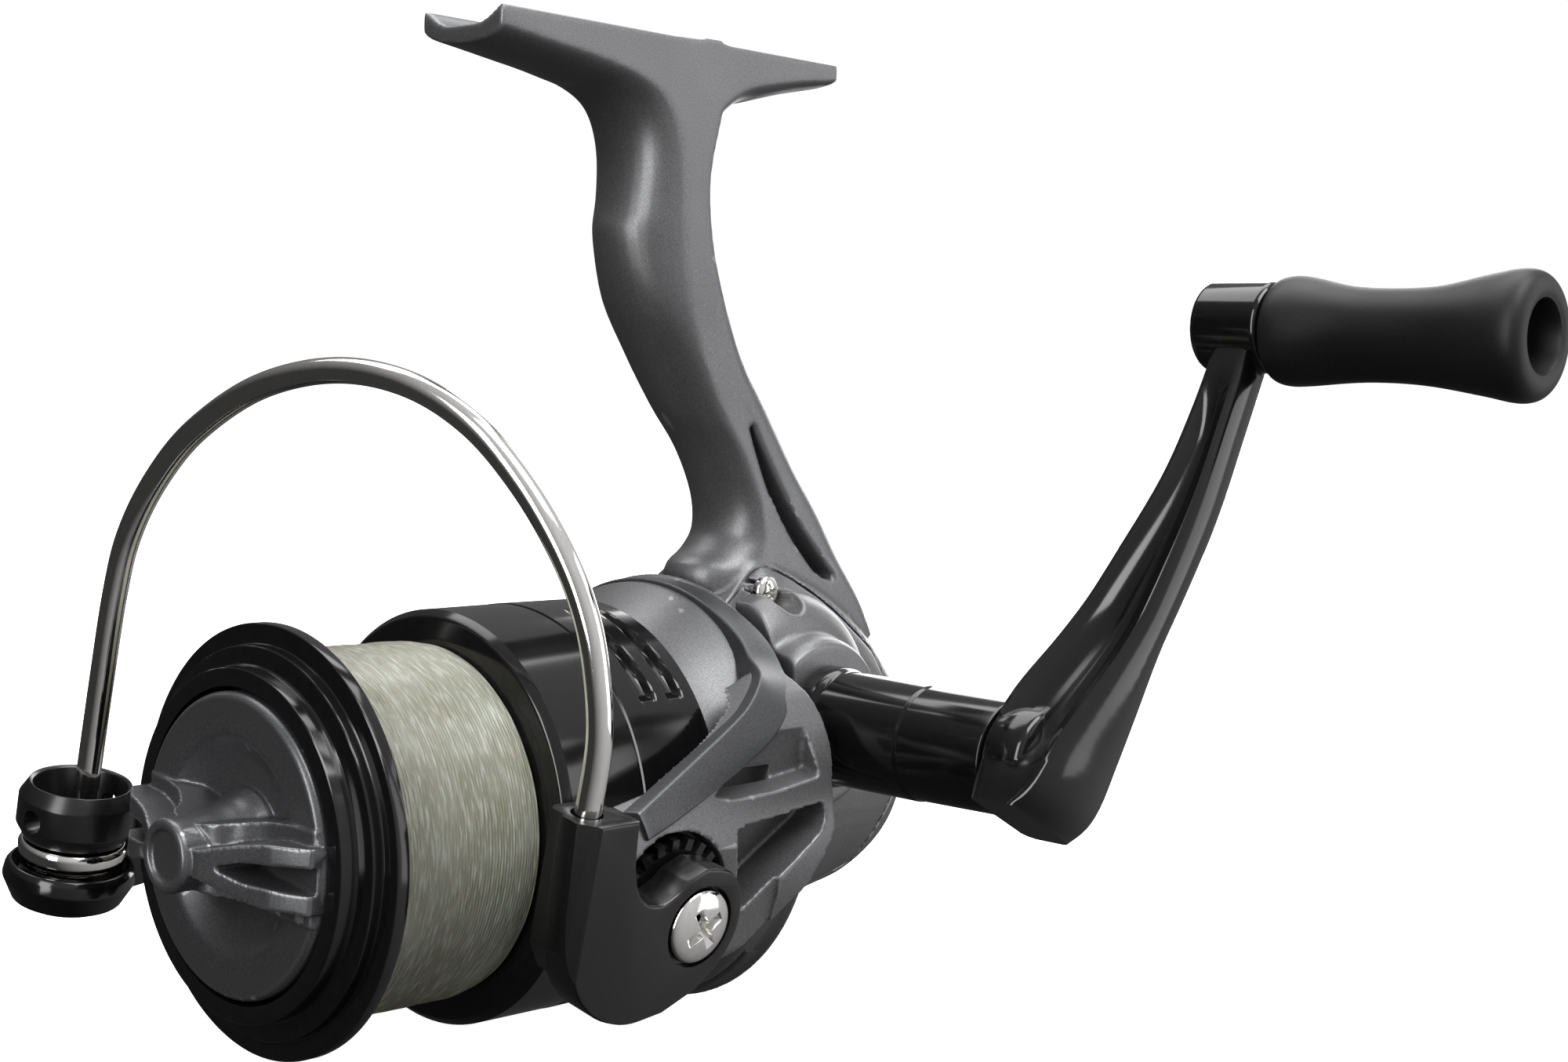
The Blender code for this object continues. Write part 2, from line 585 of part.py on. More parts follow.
def rotor_nut(parent):
    hexagon = [(5.4 * math.cos(math.radians(a)), 5.4 * math.sin(math.radians(a))) for a in range(0, 360, 60)]
    nut = plate("rotor_nut", hexagon, 33.4, 36.2, "Y", STEEL, parent)
    cut(nut, turned("rotor_nut_bore", rod(3.2, 30, 40), "Y", None, parent, steps=20, cutter=True))
    return nut


def bail_spring(parent):
    """The torsion spring round the far pivot, sunk in the arm's hub recess."""
    turns, steps, pitch, radius = 2.75, 9, 0.8, 5.8
    count = int(turns * steps) + 1
    points = [(-28.7 - pitch * i / steps, PIVOT_Y + radius * math.cos(2 * math.pi * i / steps),
               radius * math.sin(2 * math.pi * i / steps)) for i in range(count)]
    return tube("bail_spring", points, 0.3, STEEL, parent)


# ------------------------------------------------------------------ bail
def bail_holder(parent):
    """The block on the near side that holds the wire and turns on the pivot screw."""
    wall = [(10.5, 13.4), (10.9, 3.0), (11.4, -1.6), (13.0, -5.6), (16.2, -8.4), (20.8, -10.0), (26.0, -9.4)]
    eye = spline([(30.4, -7.6), (33.4, -5.0), (35.3, -1.4), (35.1, 2.6), (32.9, 5.7), (29.0, 6.6)], 2)
    notch = spline([(26.6, 5.6), (24.9, 4.2), (22.6, 3.4), (19.9, 4.6), (18.3, 8.0), (17.6, 13.4)], 2)
    holder = plate("bail_holder", wall + eye + notch, ARM_FACE + GAP, PIVOT_X, "X", GLOSS_BLACK, parent)
    block = plate("holder_block_form", [(11.0, 13.4), (11.4, -1.0), (13.4, -4.6), (16.0, -5.4), (16.6, -1.0),
                                        (17.0, 13.4)], 29.0, PIVOT_X - 1, "X", None, parent, cutter=True)
    join(holder, block)
    bore = turned("holder_bore", [(0, 60), (4.7, 60), (4.7, 34.9), (2.0, 34.9), (2.0, 20), (0, 20)], "X", None, parent,
                  centre=(0, PIVOT_Y, 0), steps=24, cutter=True)
    corner = [(PIVOT_X + 1, 9.4), (PIVOT_X + 1, 13.2), (PIVOT_X - 2.6, 9.4)]
    front_chamfer = plate("holder_chamfer", corner, -5, 20, "Z", None, parent, cutter=True)
    socket = turned("wire_socket", rod(WIRE_R + GAP, 5.0, 30), "Z", None, parent, centre=(32.2, 13.5, 0), steps=16,
                    cutter=True)
    cut(holder, bore, front_chamfer, socket)
    return holder


def bail_wire(parent):
    route = [
        (32.2, 13.5, 5.6), (32.4, 13.4, 13.0), (32.5, 13.2, 21.0), (31.4, 12.5, 27.4), (29.4, 11.5, 33.4),
        (26.0, 10.1, 39.0), (20.4, 8.2, 44.8), (13.6, 6.0, 49.4), (5.6, 3.5, 51.6), (-3.4, 1.0, 50.8),
        (-12.6, -1.4, 46.8), (-20.4, -3.2, 40.2), (-25.4, -4.1, 33.4), (-28.6, -4.6, 26.2), (-30.0, -4.6, 19.0),
        (-30.8, -4.4, 8.0), (-31.6, -4.1, -6.6),
    ]
    return tube("bail_wire", spline(route, 2), WIRE_R, CHROME, parent)


def bail_hub(parent):
    hub = plate("bail_hub", gear_outline(12, 7.0, 8.1), 28.4, 30.9, "X", GLOSS_BLACK, parent)
    hub.location.y += PIVOT_Y * MM
    cut(hub, turned("bail_hub_bore", rod(3.3, 20, 40), "X", None, parent, centre=(0, PIVOT_Y, 0), steps=14, cutter=True))
    return hub


def bail_arm(parent):
    """The lever on the far side, from its pivot to the cup under the line roller."""
    reach = [*arc((PIVOT_Y, 0), 8.4, 265, 450, 10), (14.0, 1.6), (2.0, -11.6), (-2.6, -14.4), (-1.0, -19.2),
             (6.0, -18.4), (18.0, -9.6)]
    lever = plate("bail_arm", reach, -PIVOT_X + 0.4, -ARM_FACE - GAP, "X", GLOSS_BLACK, parent)
    centre = (ROLLER_X, ROLLER_Y, 0)
    cup = turned("roller_cup_form", [(0, -14.0), (7.2, -14.0), (7.3, -16.4), (5.8, -19.6), (0, -19.6)], "Z", None,
                 parent, centre=centre, steps=22, cutter=True)
    join(lever, cup)
    bowl = turned("roller_bowl", [(0, -10), (6.5, -10), (6.3, -16.4), (0, -16.4)], "Z", None, parent, centre=centre,
                  steps=22, cutter=True)
    screw_hole = turned("roller_screw_hole", [(0, -10), (1.7, -10), (1.7, -18.0), (3.2, -18.0), (3.2, -30), (0, -30)],
                        "Z", None, parent, centre=centre, steps=16, cutter=True)
    eye = turned("lever_bore", [(0, -60), (4.7, -60), (4.7, -34.6), (2.0, -34.6), (2.0, -20), (0, -20)], "X", None,
                 parent, centre=(0, PIVOT_Y, 0), steps=24, cutter=True)
    cut(lever, bowl, screw_hole, eye)
    return lever


def roller_parts(bail, roller_empty):
    centre = (ROLLER_X, ROLLER_Y, 0)
    collar = turned("wire_collar", [(0, -8.2), (3.4, -8.0), (5.0, -4.6), (5.7, -4.6), (6.6, -6.0), (6.5, -10.4),
                                    (6.0, -11.8), (0, -11.8)], "Z", GLOSS_BLACK, bail, centre=centre, steps=20)
    cut(collar, turned("collar_thread", rod(1.7, -14, -10.2), "Z", None, bail, centre=centre, steps=16, cutter=True))
    turned("line_roller", [(1.8, -12.1), (5.8, -12.1), (6.0, -12.5), (5.1, -13.6), (5.1, -14.4), (5.9, -15.6),
                           (5.7, -16.1), (1.8, -16.1)], "Z", CHROME, roller_empty, steps=20)
    turned("roller_screw", [(0, -10.5), (1.4, -10.5), (1.4, -18.3), (2.8, -18.3), (2.8, -19.3), (0, -19.4)], "Z",
           STEEL, bail, centre=centre, steps=16)


# ------------------------------------------------------------------ spool and drag
def spool(parent):
    profile = [
        (16.9, -5.4), (18.9, -5.4), (18.9, -3.4), (21.1, -3.1), (21.1, -1.8), (FLANGE_R, -1.8), (FLANGE_R, -0.2),
        (BARREL_R, 0.4), (BARREL_R, BARREL_END), (23.0, 20.6), (SKIRT_R, 22.0), (SKIRT_R, SKIRT_END),
        (22.5, SKIRT_END), (22.4, 24.2), (16.2, 22.6), (16.2, 10.6), (5.4, 10.6), (5.4, 21.2), (2.4, 21.2),
        (2.4, 8.4), (12.0, 8.4), (12.0, -0.8), (16.9, -0.8),
    ]
    return turned("spool", profile, "Y", GLOSS_BLACK, parent, steps=36)


def line_and_drag(parent):
    turned("fishing_line", [(18.5, 0.8), (19.9, 0.8), (LINE_R, 6), (LINE_R, 14), (19.9, 19.9), (18.5, 19.9)], "Y",
           MONO, parent, steps=36)
    stack = (("drag_washer_rear", 11.6, 7.1, 8.1, FELT), ("drag_washer_keyed", 11.2, 5.8, 6.8, STEEL),
             ("drag_washer_front", 11.6, 4.5, 5.5, FELT))
    for name, radius, low, high, finish in stack:
        turned(name, ring(2.4, radius, low, high), "Y", finish, parent, steps=18)
    turned("drag_retainer", ring(10.6, 11.7, 3.4, 4.1), "Y", STEEL, parent, steps=18)


def drag_knob(parent):
    profile = [
        (0, -2.6), (8.0, -2.6), (15.0, -1.2), (KNOB_DISC_R, -1.2), (KNOB_DISC_R, -5.9), (15.6, -6.4), (13.0, -4.6),
        (9.0, -4.4), (6.2, -5.6), (4.8, -9.0), (4.0, HUB_TIP), (0, HUB_TIP),
    ]
    knob = turned("drag_knob", profile, "Y", SATIN_BLACK, parent, steps=32)
    wing = [(-15.4, -10.4), (-13.0, -9.6), (-8.0, -9.8), (-3.4, -12.6), (3.4, -12.6), (8.0, -9.8), (13.0, -9.6),
            (15.4, -10.0), (15.2, -5.0), (4.0, -5.0), (-4.0, -5.0), (-15.2, -5.0)]
    bar = plate("knob_bar_form", wing, -2.7, 2.7, "Z", None, parent, cutter=True)
    bore = turned("knob_core", rod(3.6, -10.4, 0), "Y", None, parent, steps=16, cutter=True)
    join(knob, bar)
    cut(knob, bore)
    return knob


def knob_inner(parent):
    hexagon = [(3.2 * math.cos(math.radians(a)), 3.2 * math.sin(math.radians(a))) for a in range(0, 360, 60)]
    nut = plate("drag_knob_nut", hexagon, -10.1, -6.9, "Y", BRASS, parent)
    cut(nut, turned("knob_nut_bore", rod(2.3, -12, 0), "Y", None, parent, steps=16, cutter=True))
    turns, steps, low, high, radius = 3, 8, -6.1, -0.6, 2.85
    count = turns * steps + 1
    points = [(radius * math.cos(2 * math.pi * i / steps), low + (high - low) * i / (count - 1),
               radius * math.sin(2 * math.pi * i / steps)) for i in range(count)]
    tube("drag_spring", points, 0.35, STEEL, parent)


def main_shaft(parent):
    turned("main_shaft", [(0, 89.6), (1.7, 89.6), (MAIN_SHAFT_R, 89.3), (MAIN_SHAFT_R, -9.7), (1.8, -10.0),
                          (0, -10.0)], "Y", STEEL, parent, steps=20)
    turned("spool_support", [(2.3, 24.8), (4.6, 24.8), (4.8, 24.5), (4.8, 22.0), (4.6, 21.7), (2.3, 21.7)], "Y", BRASS,
           parent, steps=20)
    slider = box("oscillation_slider", (-3.8, 84.0, -6.9), (3.8, 88.4, 6.9), ALUMINIUM, parent)
    bore = turned("slider_bore", rod(2.3, 70, 100), "Y", None, parent, steps=16, cutter=True)
    cut(slider, bore, *[turned(f"slider_rod_{i}", rod(1.2, 70, 100), "Y", None, parent, centre=(ROD_X, 0, z), steps=8,
                               cutter=True) for i, z in enumerate(ROD_HEIGHTS)])


# ------------------------------------------------------------------ handle
def handle_shaft(parent):
    return turned("handle_shaft", [(0, 48.9), (6.7, 48.9), (6.8, 37.0), (SLEEVE_R, 36.6), (SLEEVE_R, 23.0),
                                   (7.0, 22.0), (7.0, 21.1), (6.8, 20.9), (3.3, 20.9), (3.3, 46.3), (0, 46.3)], "X",
                  GLOSS_BLACK, parent, steps=24)


def handle_arm(parent):
    """The swept arm, drawn upright as (x, z) and leaned with the handle."""
    inner_edge = spline([(49.2, 5.4), (51.4, 14.4), (54.2, 24.4), (57.0, 35.4), (57.9, 45.0), (58.0, 51.6)], 3)
    outer_edge = spline([(63.2, 51.6), (63.4, 44.0), (63.5, 33.0), (62.6, 22.0), (61.2, 12.0), (59.4, 2.6),
                         (58.2, -4.0)], 3)
    outline = inner_edge + outer_edge + [(57.0, -6.2), (55.0, -7.0), (49.2, -7.0)]
    arm = plate("handle_arm", outline, -3.2, 2.9, "Y", GLOSS_BLACK, parent)
    root = turned("arm_root_form", [(0, 49.2), (6.8, 49.2), (7.0, 52.0), (6.2, 56.0), (4.4, 58.2), (0, 58.6)], "X",
                  None, parent, steps=20, cutter=True)
    head = turned("arm_head_form", [(0, 55.3), (4.7, 55.3), (5.3, 55.9), (5.3, 63.6), (4.9, 64.2), (0, 64.2)], "X",
                  None, parent, centre=(0, 0, THROW + 0.4), steps=20, cutter=True)
    join(arm, root, head)
    cut(arm, turned("post_hole", rod(2.3, 57, 80), "X", None, parent, centre=(0, 0, THROW), steps=16, cutter=True))
    return arm


def knob_post(parent):
    return turned("knob_post", [(0, 57.4), (2.0, 57.4), (2.0, 90.6), (3.4, 90.8), (3.4, 92.0), (0, 92.2)], "X", STEEL,
                  parent, centre=(0, 0, THROW), steps=18)


def handle_knob(parent):
    outer = spline([(5.4, 64.7), (6.2, 66.0), (6.1, 69.0), (5.5, 76.0), (5.6, 83.0), (6.6, 90.0), (7.2, 94.0),
                    (7.0, 95.8), (5.8, 96.7), (4.4, 96.6)], 1)
    inner = [(4.0, 96.0), (4.0, 90.4), (2.4, 90.2), (2.4, 64.7)]
    return turned("handle_knob", outer + inner, "X", RUBBER, parent, steps=22)


# ------------------------------------------------------------------ assembly
clear_scene()
PARTS = new_collection("spinning_reel")
CUTTERS = new_collection("cutters")

GRAPHITE = material("graphite paint", (0.085, 0.087, 0.09), 0.36, 0.55)
GRAPHITE_DARK = material("dark graphite paint", (0.03, 0.03, 0.032), 0.36, 0.5)
GLOSS_BLACK = material("gloss black", (0.009, 0.009, 0.01), 0.16, 0.0)
SATIN_BLACK = material("satin dark grey", (0.045, 0.045, 0.047), 0.42, 0.25)
RUBBER = material("black rubber", (0.014, 0.014, 0.015), 0.62, 0.0)
CHROME = material("polished steel", (0.72, 0.7, 0.68), 0.1, 1.0)
STEEL = material("plain steel", (0.52, 0.52, 0.52), 0.3, 1.0)
ALUMINIUM = material("cast aluminium", (0.62, 0.62, 0.63), 0.42, 1.0)
BRASS = material("brass", (0.66, 0.46, 0.2), 0.3, 1.0)
FELT = material("drag fibre", (0.12, 0.1, 0.08), 0.8, 0.0)
MONO = material("monofilament line", (0.56, 0.58, 0.46), 0.35, 0.0)

REEL = new_empty("reel_axis", (0, -SEAT_Y, -SEAT_Z), (0, 0, 0), None)
ROTOR_AXIS = new_empty("rotor_axis", (0, 0, 0), (0, ROTOR_ANGLE, 0), REEL)
ROLLER_AXIS = new_empty("roller_axis", (ROLLER_X, ROLLER_Y, 0), (0, 0, 0), ROTOR_AXIS)
DRIVE_AXIS = new_empty("drive_axis", (0, DRIVE_Y, DRIVE_Z), (0, 0, 0), REEL)
HANDLE_AXIS = new_empty("handle_axis", (0, DRIVE_Y, DRIVE_Z), (-HANDLE_LEAN, 0, 0), REEL)
KNOB_AXIS = new_empty("knob_axis", (0, 0, THROW), (0, 0, 0), HANDLE_AXIS)
OSCILLATION = new_empty("oscillation_axis", (0, *OSCILLATION_AXIS), (0, 0, 0), REEL)

body_housing(REEL)
side_cover(REEL)
for index, (screw_y, screw_z) in enumerate(SCREW_PLACES, 1):
    screw(f"cover_screw_{index}", 1.9, 1.5, 0.9, 6.4, "X", CHROME, REEL, (9.7, screw_y, screw_z))
tail_cover(REEL)
bearings(REEL)
shaft_bracket(REEL)
guide_rods(REEL)
oscillation_post(REEL)

drive_gear(DRIVE_AXIS)
oscillation_gear(OSCILLATION)
handle_shaft(DRIVE_AXIS)
handle_arm(HANDLE_AXIS)
knob_post(HANDLE_AXIS)
handle_knob(KNOB_AXIS)

rotor(ROTOR_AXIS)
pinion(ROTOR_AXIS)
rotor_nut(ROTOR_AXIS)
bail_spring(ROTOR_AXIS)
for side, label in ((1, "near"), (-1, "far")):
    screw(f"pivot_screw_{label}", 4.2, 1.8, 1.2, 8.6, "X", CHROME, ROTOR_AXIS,
          (side * 35.2, PIVOT_Y, 0), toward=side)
bail_holder(ROTOR_AXIS)
bail_hub(ROTOR_AXIS)
bail_wire(ROTOR_AXIS)
bail_arm(ROTOR_AXIS)
roller_parts(ROTOR_AXIS, ROLLER_AXIS)

main_shaft(REEL)
spool(REEL)
line_and_drag(REEL)
drag_knob(REEL)
knob_inner(REEL)

for part in PARTS.objects:
    if part.type == "MESH":
        smooth(part)
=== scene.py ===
"""Looks for the open-face spinning reel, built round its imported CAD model.

Lengths are millimetres in the reel frame: its origin is on the spool axis at the rear edge of the spool's
front flange, the spool faces -Y, the handle is on +X and the rod foot is on +Z. Rotor and bail pieces
are drawn with the bail arms along X, and handle pieces are drawn upright. Each place matrix turns one of
those frames into the CAD model's metres.
"""
import json
import math

import bmesh
import bpy
import numpy as np
from mathutils import Matrix, Vector


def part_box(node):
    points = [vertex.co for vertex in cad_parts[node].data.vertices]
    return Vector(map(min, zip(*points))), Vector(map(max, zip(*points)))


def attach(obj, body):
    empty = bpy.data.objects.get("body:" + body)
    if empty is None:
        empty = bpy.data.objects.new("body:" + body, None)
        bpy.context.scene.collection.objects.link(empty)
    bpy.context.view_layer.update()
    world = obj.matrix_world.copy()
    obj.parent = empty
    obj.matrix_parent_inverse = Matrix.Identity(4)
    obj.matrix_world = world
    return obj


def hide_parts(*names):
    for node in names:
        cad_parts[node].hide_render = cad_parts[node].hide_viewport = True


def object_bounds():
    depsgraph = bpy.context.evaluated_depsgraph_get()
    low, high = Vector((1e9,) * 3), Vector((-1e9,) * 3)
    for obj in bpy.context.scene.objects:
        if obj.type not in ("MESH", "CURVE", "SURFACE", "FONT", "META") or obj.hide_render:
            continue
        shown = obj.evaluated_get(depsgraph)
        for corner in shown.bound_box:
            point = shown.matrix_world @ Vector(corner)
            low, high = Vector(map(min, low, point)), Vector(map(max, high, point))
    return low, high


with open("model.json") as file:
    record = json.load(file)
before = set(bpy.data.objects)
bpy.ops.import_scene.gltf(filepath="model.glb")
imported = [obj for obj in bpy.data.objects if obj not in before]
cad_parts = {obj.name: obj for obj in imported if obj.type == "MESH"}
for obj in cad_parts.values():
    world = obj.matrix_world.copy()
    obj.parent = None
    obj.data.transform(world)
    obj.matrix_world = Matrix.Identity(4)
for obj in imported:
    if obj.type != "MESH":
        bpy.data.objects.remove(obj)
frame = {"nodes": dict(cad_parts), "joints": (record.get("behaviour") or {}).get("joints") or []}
CAD_BOX = [list(corner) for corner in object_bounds()]

# ------------------------------------------------------------------ places taken from the CAD model
JOINTS = {joint["name"]: joint for joint in frame["joints"]}
MM = 0.001
SPOOL_LOW, SPOOL_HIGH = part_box("spool")
FLANGE_DEPTH = 5.4
AXIS = Vector(((SPOOL_LOW.x + SPOOL_HIGH.x) / 2, SPOOL_LOW.y + FLANGE_DEPTH * MM,
               (SPOOL_LOW.z + SPOOL_HIGH.z) / 2))
REEL = Matrix.Translation(AXIS) @ Matrix.Scale(MM, 4)
ARM_AXIS = JOINTS["bail_swing"]["axis"]
ROTOR = REEL @ Matrix.Rotation(math.atan2(-ARM_AXIS[2], ARM_AXIS[0]), 4, "Y")
DRIVE_Y, DRIVE_Z = 65.0, 9.5
TO_KNOB = Vector(JOINTS["knob_spin"]["pos_m"]) - Vector(JOINTS["crank"]["pos_m"])
THROW = math.hypot(TO_KNOB.y, TO_KNOB.z) / MM
DRIVE = REEL @ Matrix.Translation((0, DRIVE_Y, DRIVE_Z))
HANDLE = DRIVE @ Matrix.Rotation(-math.atan2(TO_KNOB.y, TO_KNOB.z), 4, "X")
PIVOT_Y = 29.3
PIVOT = (0, PIVOT_Y, 0)
ROLLER = (-32.2, -4.5, 0)


# ------------------------------------------------------------------ outlines
def spline(points, per_span=6):
    """A smooth curve through the points, of any number of coordinates."""
    padded = [points[0], *points, points[-1]]
    curve = []
    for before, start, end, after in zip(padded, padded[1:], padded[2:], padded[3:]):
        for step in range(per_span):
            t = step / per_span
            curve.append(tuple(
                0.5 * (2 * b + (c - a) * t + (2 * a - 5 * b + 4 * c - d) * t**2
                       + (3 * b - a - 3 * c + d) * t**3)
                for a, b, c, d in zip(before, start, end, after)))
    return curve + [tuple(points[-1])]


def arc(centre, radius, start, end, steps):
    angles = [math.radians(start + (end - start) * i / steps) for i in range(steps + 1)]
    return [(centre[0] + radius * math.cos(a), centre[1] + radius * math.sin(a)) for a in angles]


def rounded(points, radius=0.4, steps=4, closed=True):
    """The outline with soft corners. A point may carry its own corner radius as a third number."""
    soft = []
    for i, point in enumerate(points):
        here = Vector(point[:2])
        reach = point[2] if len(point) > 2 else radius
        if reach == 0 or (not closed and i in (0, len(points) - 1)):
            soft.append(tuple(here))
            continue
        back = Vector(points[i - 1][:2]) - here
        ahead = Vector(points[(i + 1) % len(points)][:2]) - here
        reach = min(reach, back.length * 0.45, ahead.length * 0.45)
        start = here + back.normalized() * reach
        end = here + ahead.normalized() * reach
        for step in range(steps + 1):
            t = step / steps
            soft.append(tuple(start * (1 - t) ** 2 + here * 2 * t * (1 - t) + end * t * t))
    return soft


def smoothstep(low, high, value):
    t = np.clip((value - low) / (high - low), 0, 1)
    return t * t * (3 - 2 * t)


# ------------------------------------------------------------------ solids, in millimetres until placed
def solid(points, faces):
    mesh = bpy.data.meshes.new("solid")
    mesh.from_pydata([tuple(map(float, p)) for p in points], [], faces)
    edit = bmesh.new()
    edit.from_mesh(mesh)
    bmesh.ops.remove_doubles(edit, verts=edit.verts, dist=0.0005)
    bmesh.ops.recalc_face_normals(edit, faces=edit.faces)
    if edit.calc_volume(signed=True) < 0:
        bmesh.ops.reverse_faces(edit, faces=edit.faces)
    edit.to_mesh(mesh)
    edit.free()
    made = bpy.data.objects.new("solid", mesh)
    bpy.context.scene.collection.objects.link(made)
    return made


def along(axis, a, b, c):
    """A point from two places across the axis and one along it."""
    return {"X": (c, a, b), "Y": (a, c, b), "Z": (a, b, c)}[axis]


def lathe(profile, axis="Y", steps=128, centre=(0, 0, 0), shape=None):
    """A turned solid from (radius, place along the axis). shape may change a point's radius and place."""
    points, rings = [], []
    for radius, place in profile:
        first = len(points)
        count = 1 if radius == 0 else steps
        for i in range(count):
            angle = 2 * math.pi * i / steps
            r, p = shape(radius, place, angle) if shape else (radius, place)
            across = (r * math.cos(angle), r * math.sin(angle))
            points.append(Vector(along(axis, *across, p)) + Vector(centre))
        rings.append([first + i % count for i in range(steps)])
    closing = [] if profile[0][0] == 0 else [rings[0]]
    faces = []
    for ring, following in zip(rings, rings[1:] + closing):
        for i in range(steps):
            j = (i + 1) % steps
            corners = dict.fromkeys((ring[i], ring[j], following[j], following[i]))
            if len(corners) > 2:
                faces.append(tuple(corners))
    return solid(points, faces)


def ring(inner, outer, low, high):
    return [(inner, high), (outer, high), (outer, low), (inner, low)]


def rod(radius, low, high):
    return [(0, high), (radius, high), (radius, low), (0, low)]


def prism(outline, low, high, axis, bevel=0.0):
    """A flat plate with its rims rounded. Its outline lies across the axis."""
    edit = bmesh.new()
    face = edit.faces.new([edit.verts.new(along(axis, u, v, low)) for u, v in outline])
    grown = bmesh.ops.extrude_face_region(edit, geom=[face])["geom"]
    lifted = [item for item in grown if isinstance(item, bmesh.types.BMVert)]
    bmesh.ops.translate(edit, vec=Vector(along(axis, 0, 0, high - low)), verts=lifted)
    bmesh.ops.recalc_face_normals(edit, faces=edit.faces)
    if bevel:
        index = "XYZ".index(axis)
        rims = [e for e in edit.edges if abs(e.verts[0].co[index] - e.verts[1].co[index]) < 1e-6]
        bmesh.ops.bevel(edit, geom=rims, offset=bevel, segments=3, profile=0.5, affect="EDGES",
                        clamp_overlap=True)
    mesh = bpy.data.meshes.new("solid")
    edit.to_mesh(mesh)
    edit.free()
    made = bpy.data.objects.new("solid", mesh)
    bpy.context.scene.collection.objects.link(made)
    return made


def block(low, high):
    outline = [(low[0], low[1]), (high[0], low[1]), (high[0], high[1]), (low[0], high[1])]
    return prism(outline, low[2], high[2], "Z")


def loft(sections):
    """A closed skin over rings of points, with flat ends."""
    count = len(sections[0])
    points = [point for section in sections for point in section]
    faces = [tuple(range(count))[::-1], tuple(range((len(sections) - 1) * count, len(sections) * count))]
    for level in range(len(sections) - 1):
        for i in range(count):
            j = (i + 1) % count
            base = level * count
            faces.append((base + i, base + j, base + count + j, base + count + i))
    return solid(points, faces)


def tube(path, radii, sides=24):
    """A round bar along a path, with a radius at each of its points."""
    path = [Vector(point) for point in path]
    side = Vector((0, 1, 0))
    sections = []
    for i, (here, radius) in enumerate(zip(path, radii)):
        forward = (path[min(i + 1, len(path) - 1)] - path[max(i - 1, 0)]).normalized()
        side = (side - forward * side.dot(forward)).normalized()
        other = forward.cross(side)
        sections.append([here + radius * (side * math.cos(a) + other * math.sin(a))
                         for a in (2 * math.pi * k / sides for k in range(sides))])
    return loft(sections)


def settle(obj):
    """Replaces the object's mesh with what its modifiers make of it."""
    bpy.context.view_layer.update()
    graph = bpy.context.evaluated_depsgraph_get()
    mesh = bpy.data.meshes.new_from_object(obj.evaluated_get(graph))
    obj.modifiers.clear()
    obj.data = mesh
    return obj


def combine(obj, others, operation):
    for other in others:
        change = obj.modifiers.new("change", "BOOLEAN")
        change.operation = operation
        change.object = other
        change.solver = "EXACT"
    settle(obj)
    for other in others:
        bpy.data.objects.remove(other, do_unlink=True)
    return obj


def cut(obj, *others):
    return combine(obj, others, "DIFFERENCE")


def join(obj, *others):
    return combine(obj, others, "UNION")


def common(obj, *others):
    return combine(obj, others, "INTERSECT")


def bevelled(obj, width=0.3, angle=32, segments=3):
    change = obj.modifiers.new("bevel", "BEVEL")
    change.width = width
    change.segments = segments
    change.limit_method = "ANGLE"
    change.angle_limit = math.radians(angle)
    change.harden_normals = False
    return settle(obj)


def cast(obj, voxel=0.35, passes=4, keep=0.5):
    """Rounds every edge as on a casting: the solid is remeshed finely and smoothed a little."""
    remesh = obj.modifiers.new("remesh", "REMESH")
    remesh.mode = "VOXEL"
    remesh.voxel_size = voxel
    soften = obj.modifiers.new("soften", "SMOOTH")
    soften.factor = 0.5
    soften.iterations = passes
    thin = obj.modifiers.new("thin", "DECIMATE")
    thin.ratio = keep
    return settle(obj)


def piece(name, obj, place, body, slot, finish, *nodes, angle=34):
    """Puts the solid in place as a named piece of the model."""
    obj.data.transform(place)
    obj.name = name
    obj.data.name = name
    obj.data.materials.clear()
    obj.data.materials.append(finish)
    obj.data.shade_smooth()
    obj.data.set_sharp_from_angle(angle=math.radians(angle))
    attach(obj, body)
    if nodes:
        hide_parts(*nodes)
    return obj


# ------------------------------------------------------------------ materials
def add(tree, kind, **inputs):
    node = tree.nodes.new(kind)
    for key, value in inputs.items():
        if hasattr(node, key):
            setattr(node, key, value)
        else:
            node.inputs[key.replace("_", " ")].default_value = value
    return node


def noise(tree, scale, detail=3.0, stretch=(1, 1, 1)):
    """Noise with features of the size 1 / scale, in metres, stretched along an axis."""
    where = add(tree, "ShaderNodeTexCoord")
    mapping = add(tree, "ShaderNodeMapping")
    mapping.inputs["Scale"].default_value = stretch
    made = add(tree, "ShaderNodeTexNoise", Scale=scale, Detail=detail)
    tree.links.new(where.outputs["Object"], mapping.inputs["Vector"])
    tree.links.new(mapping.outputs["Vector"], made.inputs["Vector"])
    return made.outputs["Fac"]


def spread(tree, source, low, high, start=0.3, end=0.7):
    made = add(tree, "ShaderNodeMapRange")
    for name, value in (("From Min", start), ("From Max", end), ("To Min", low), ("To Max", high)):
        made.inputs[name].default_value = value
    tree.links.new(source, made.inputs["Value"])
    return made.outputs["Result"]


def mixed(tree, factor, first, second):
    made = add(tree, "ShaderNodeMix", data_type="RGBA")
    for index, value in ((6, first), (7, second)):
        if isinstance(value, tuple):
            made.inputs[index].default_value = (*value, 1)
        else:
            tree.links.new(value, made.inputs[index])
    tree.links.new(factor, made.inputs[0])
    return made.outputs[2]


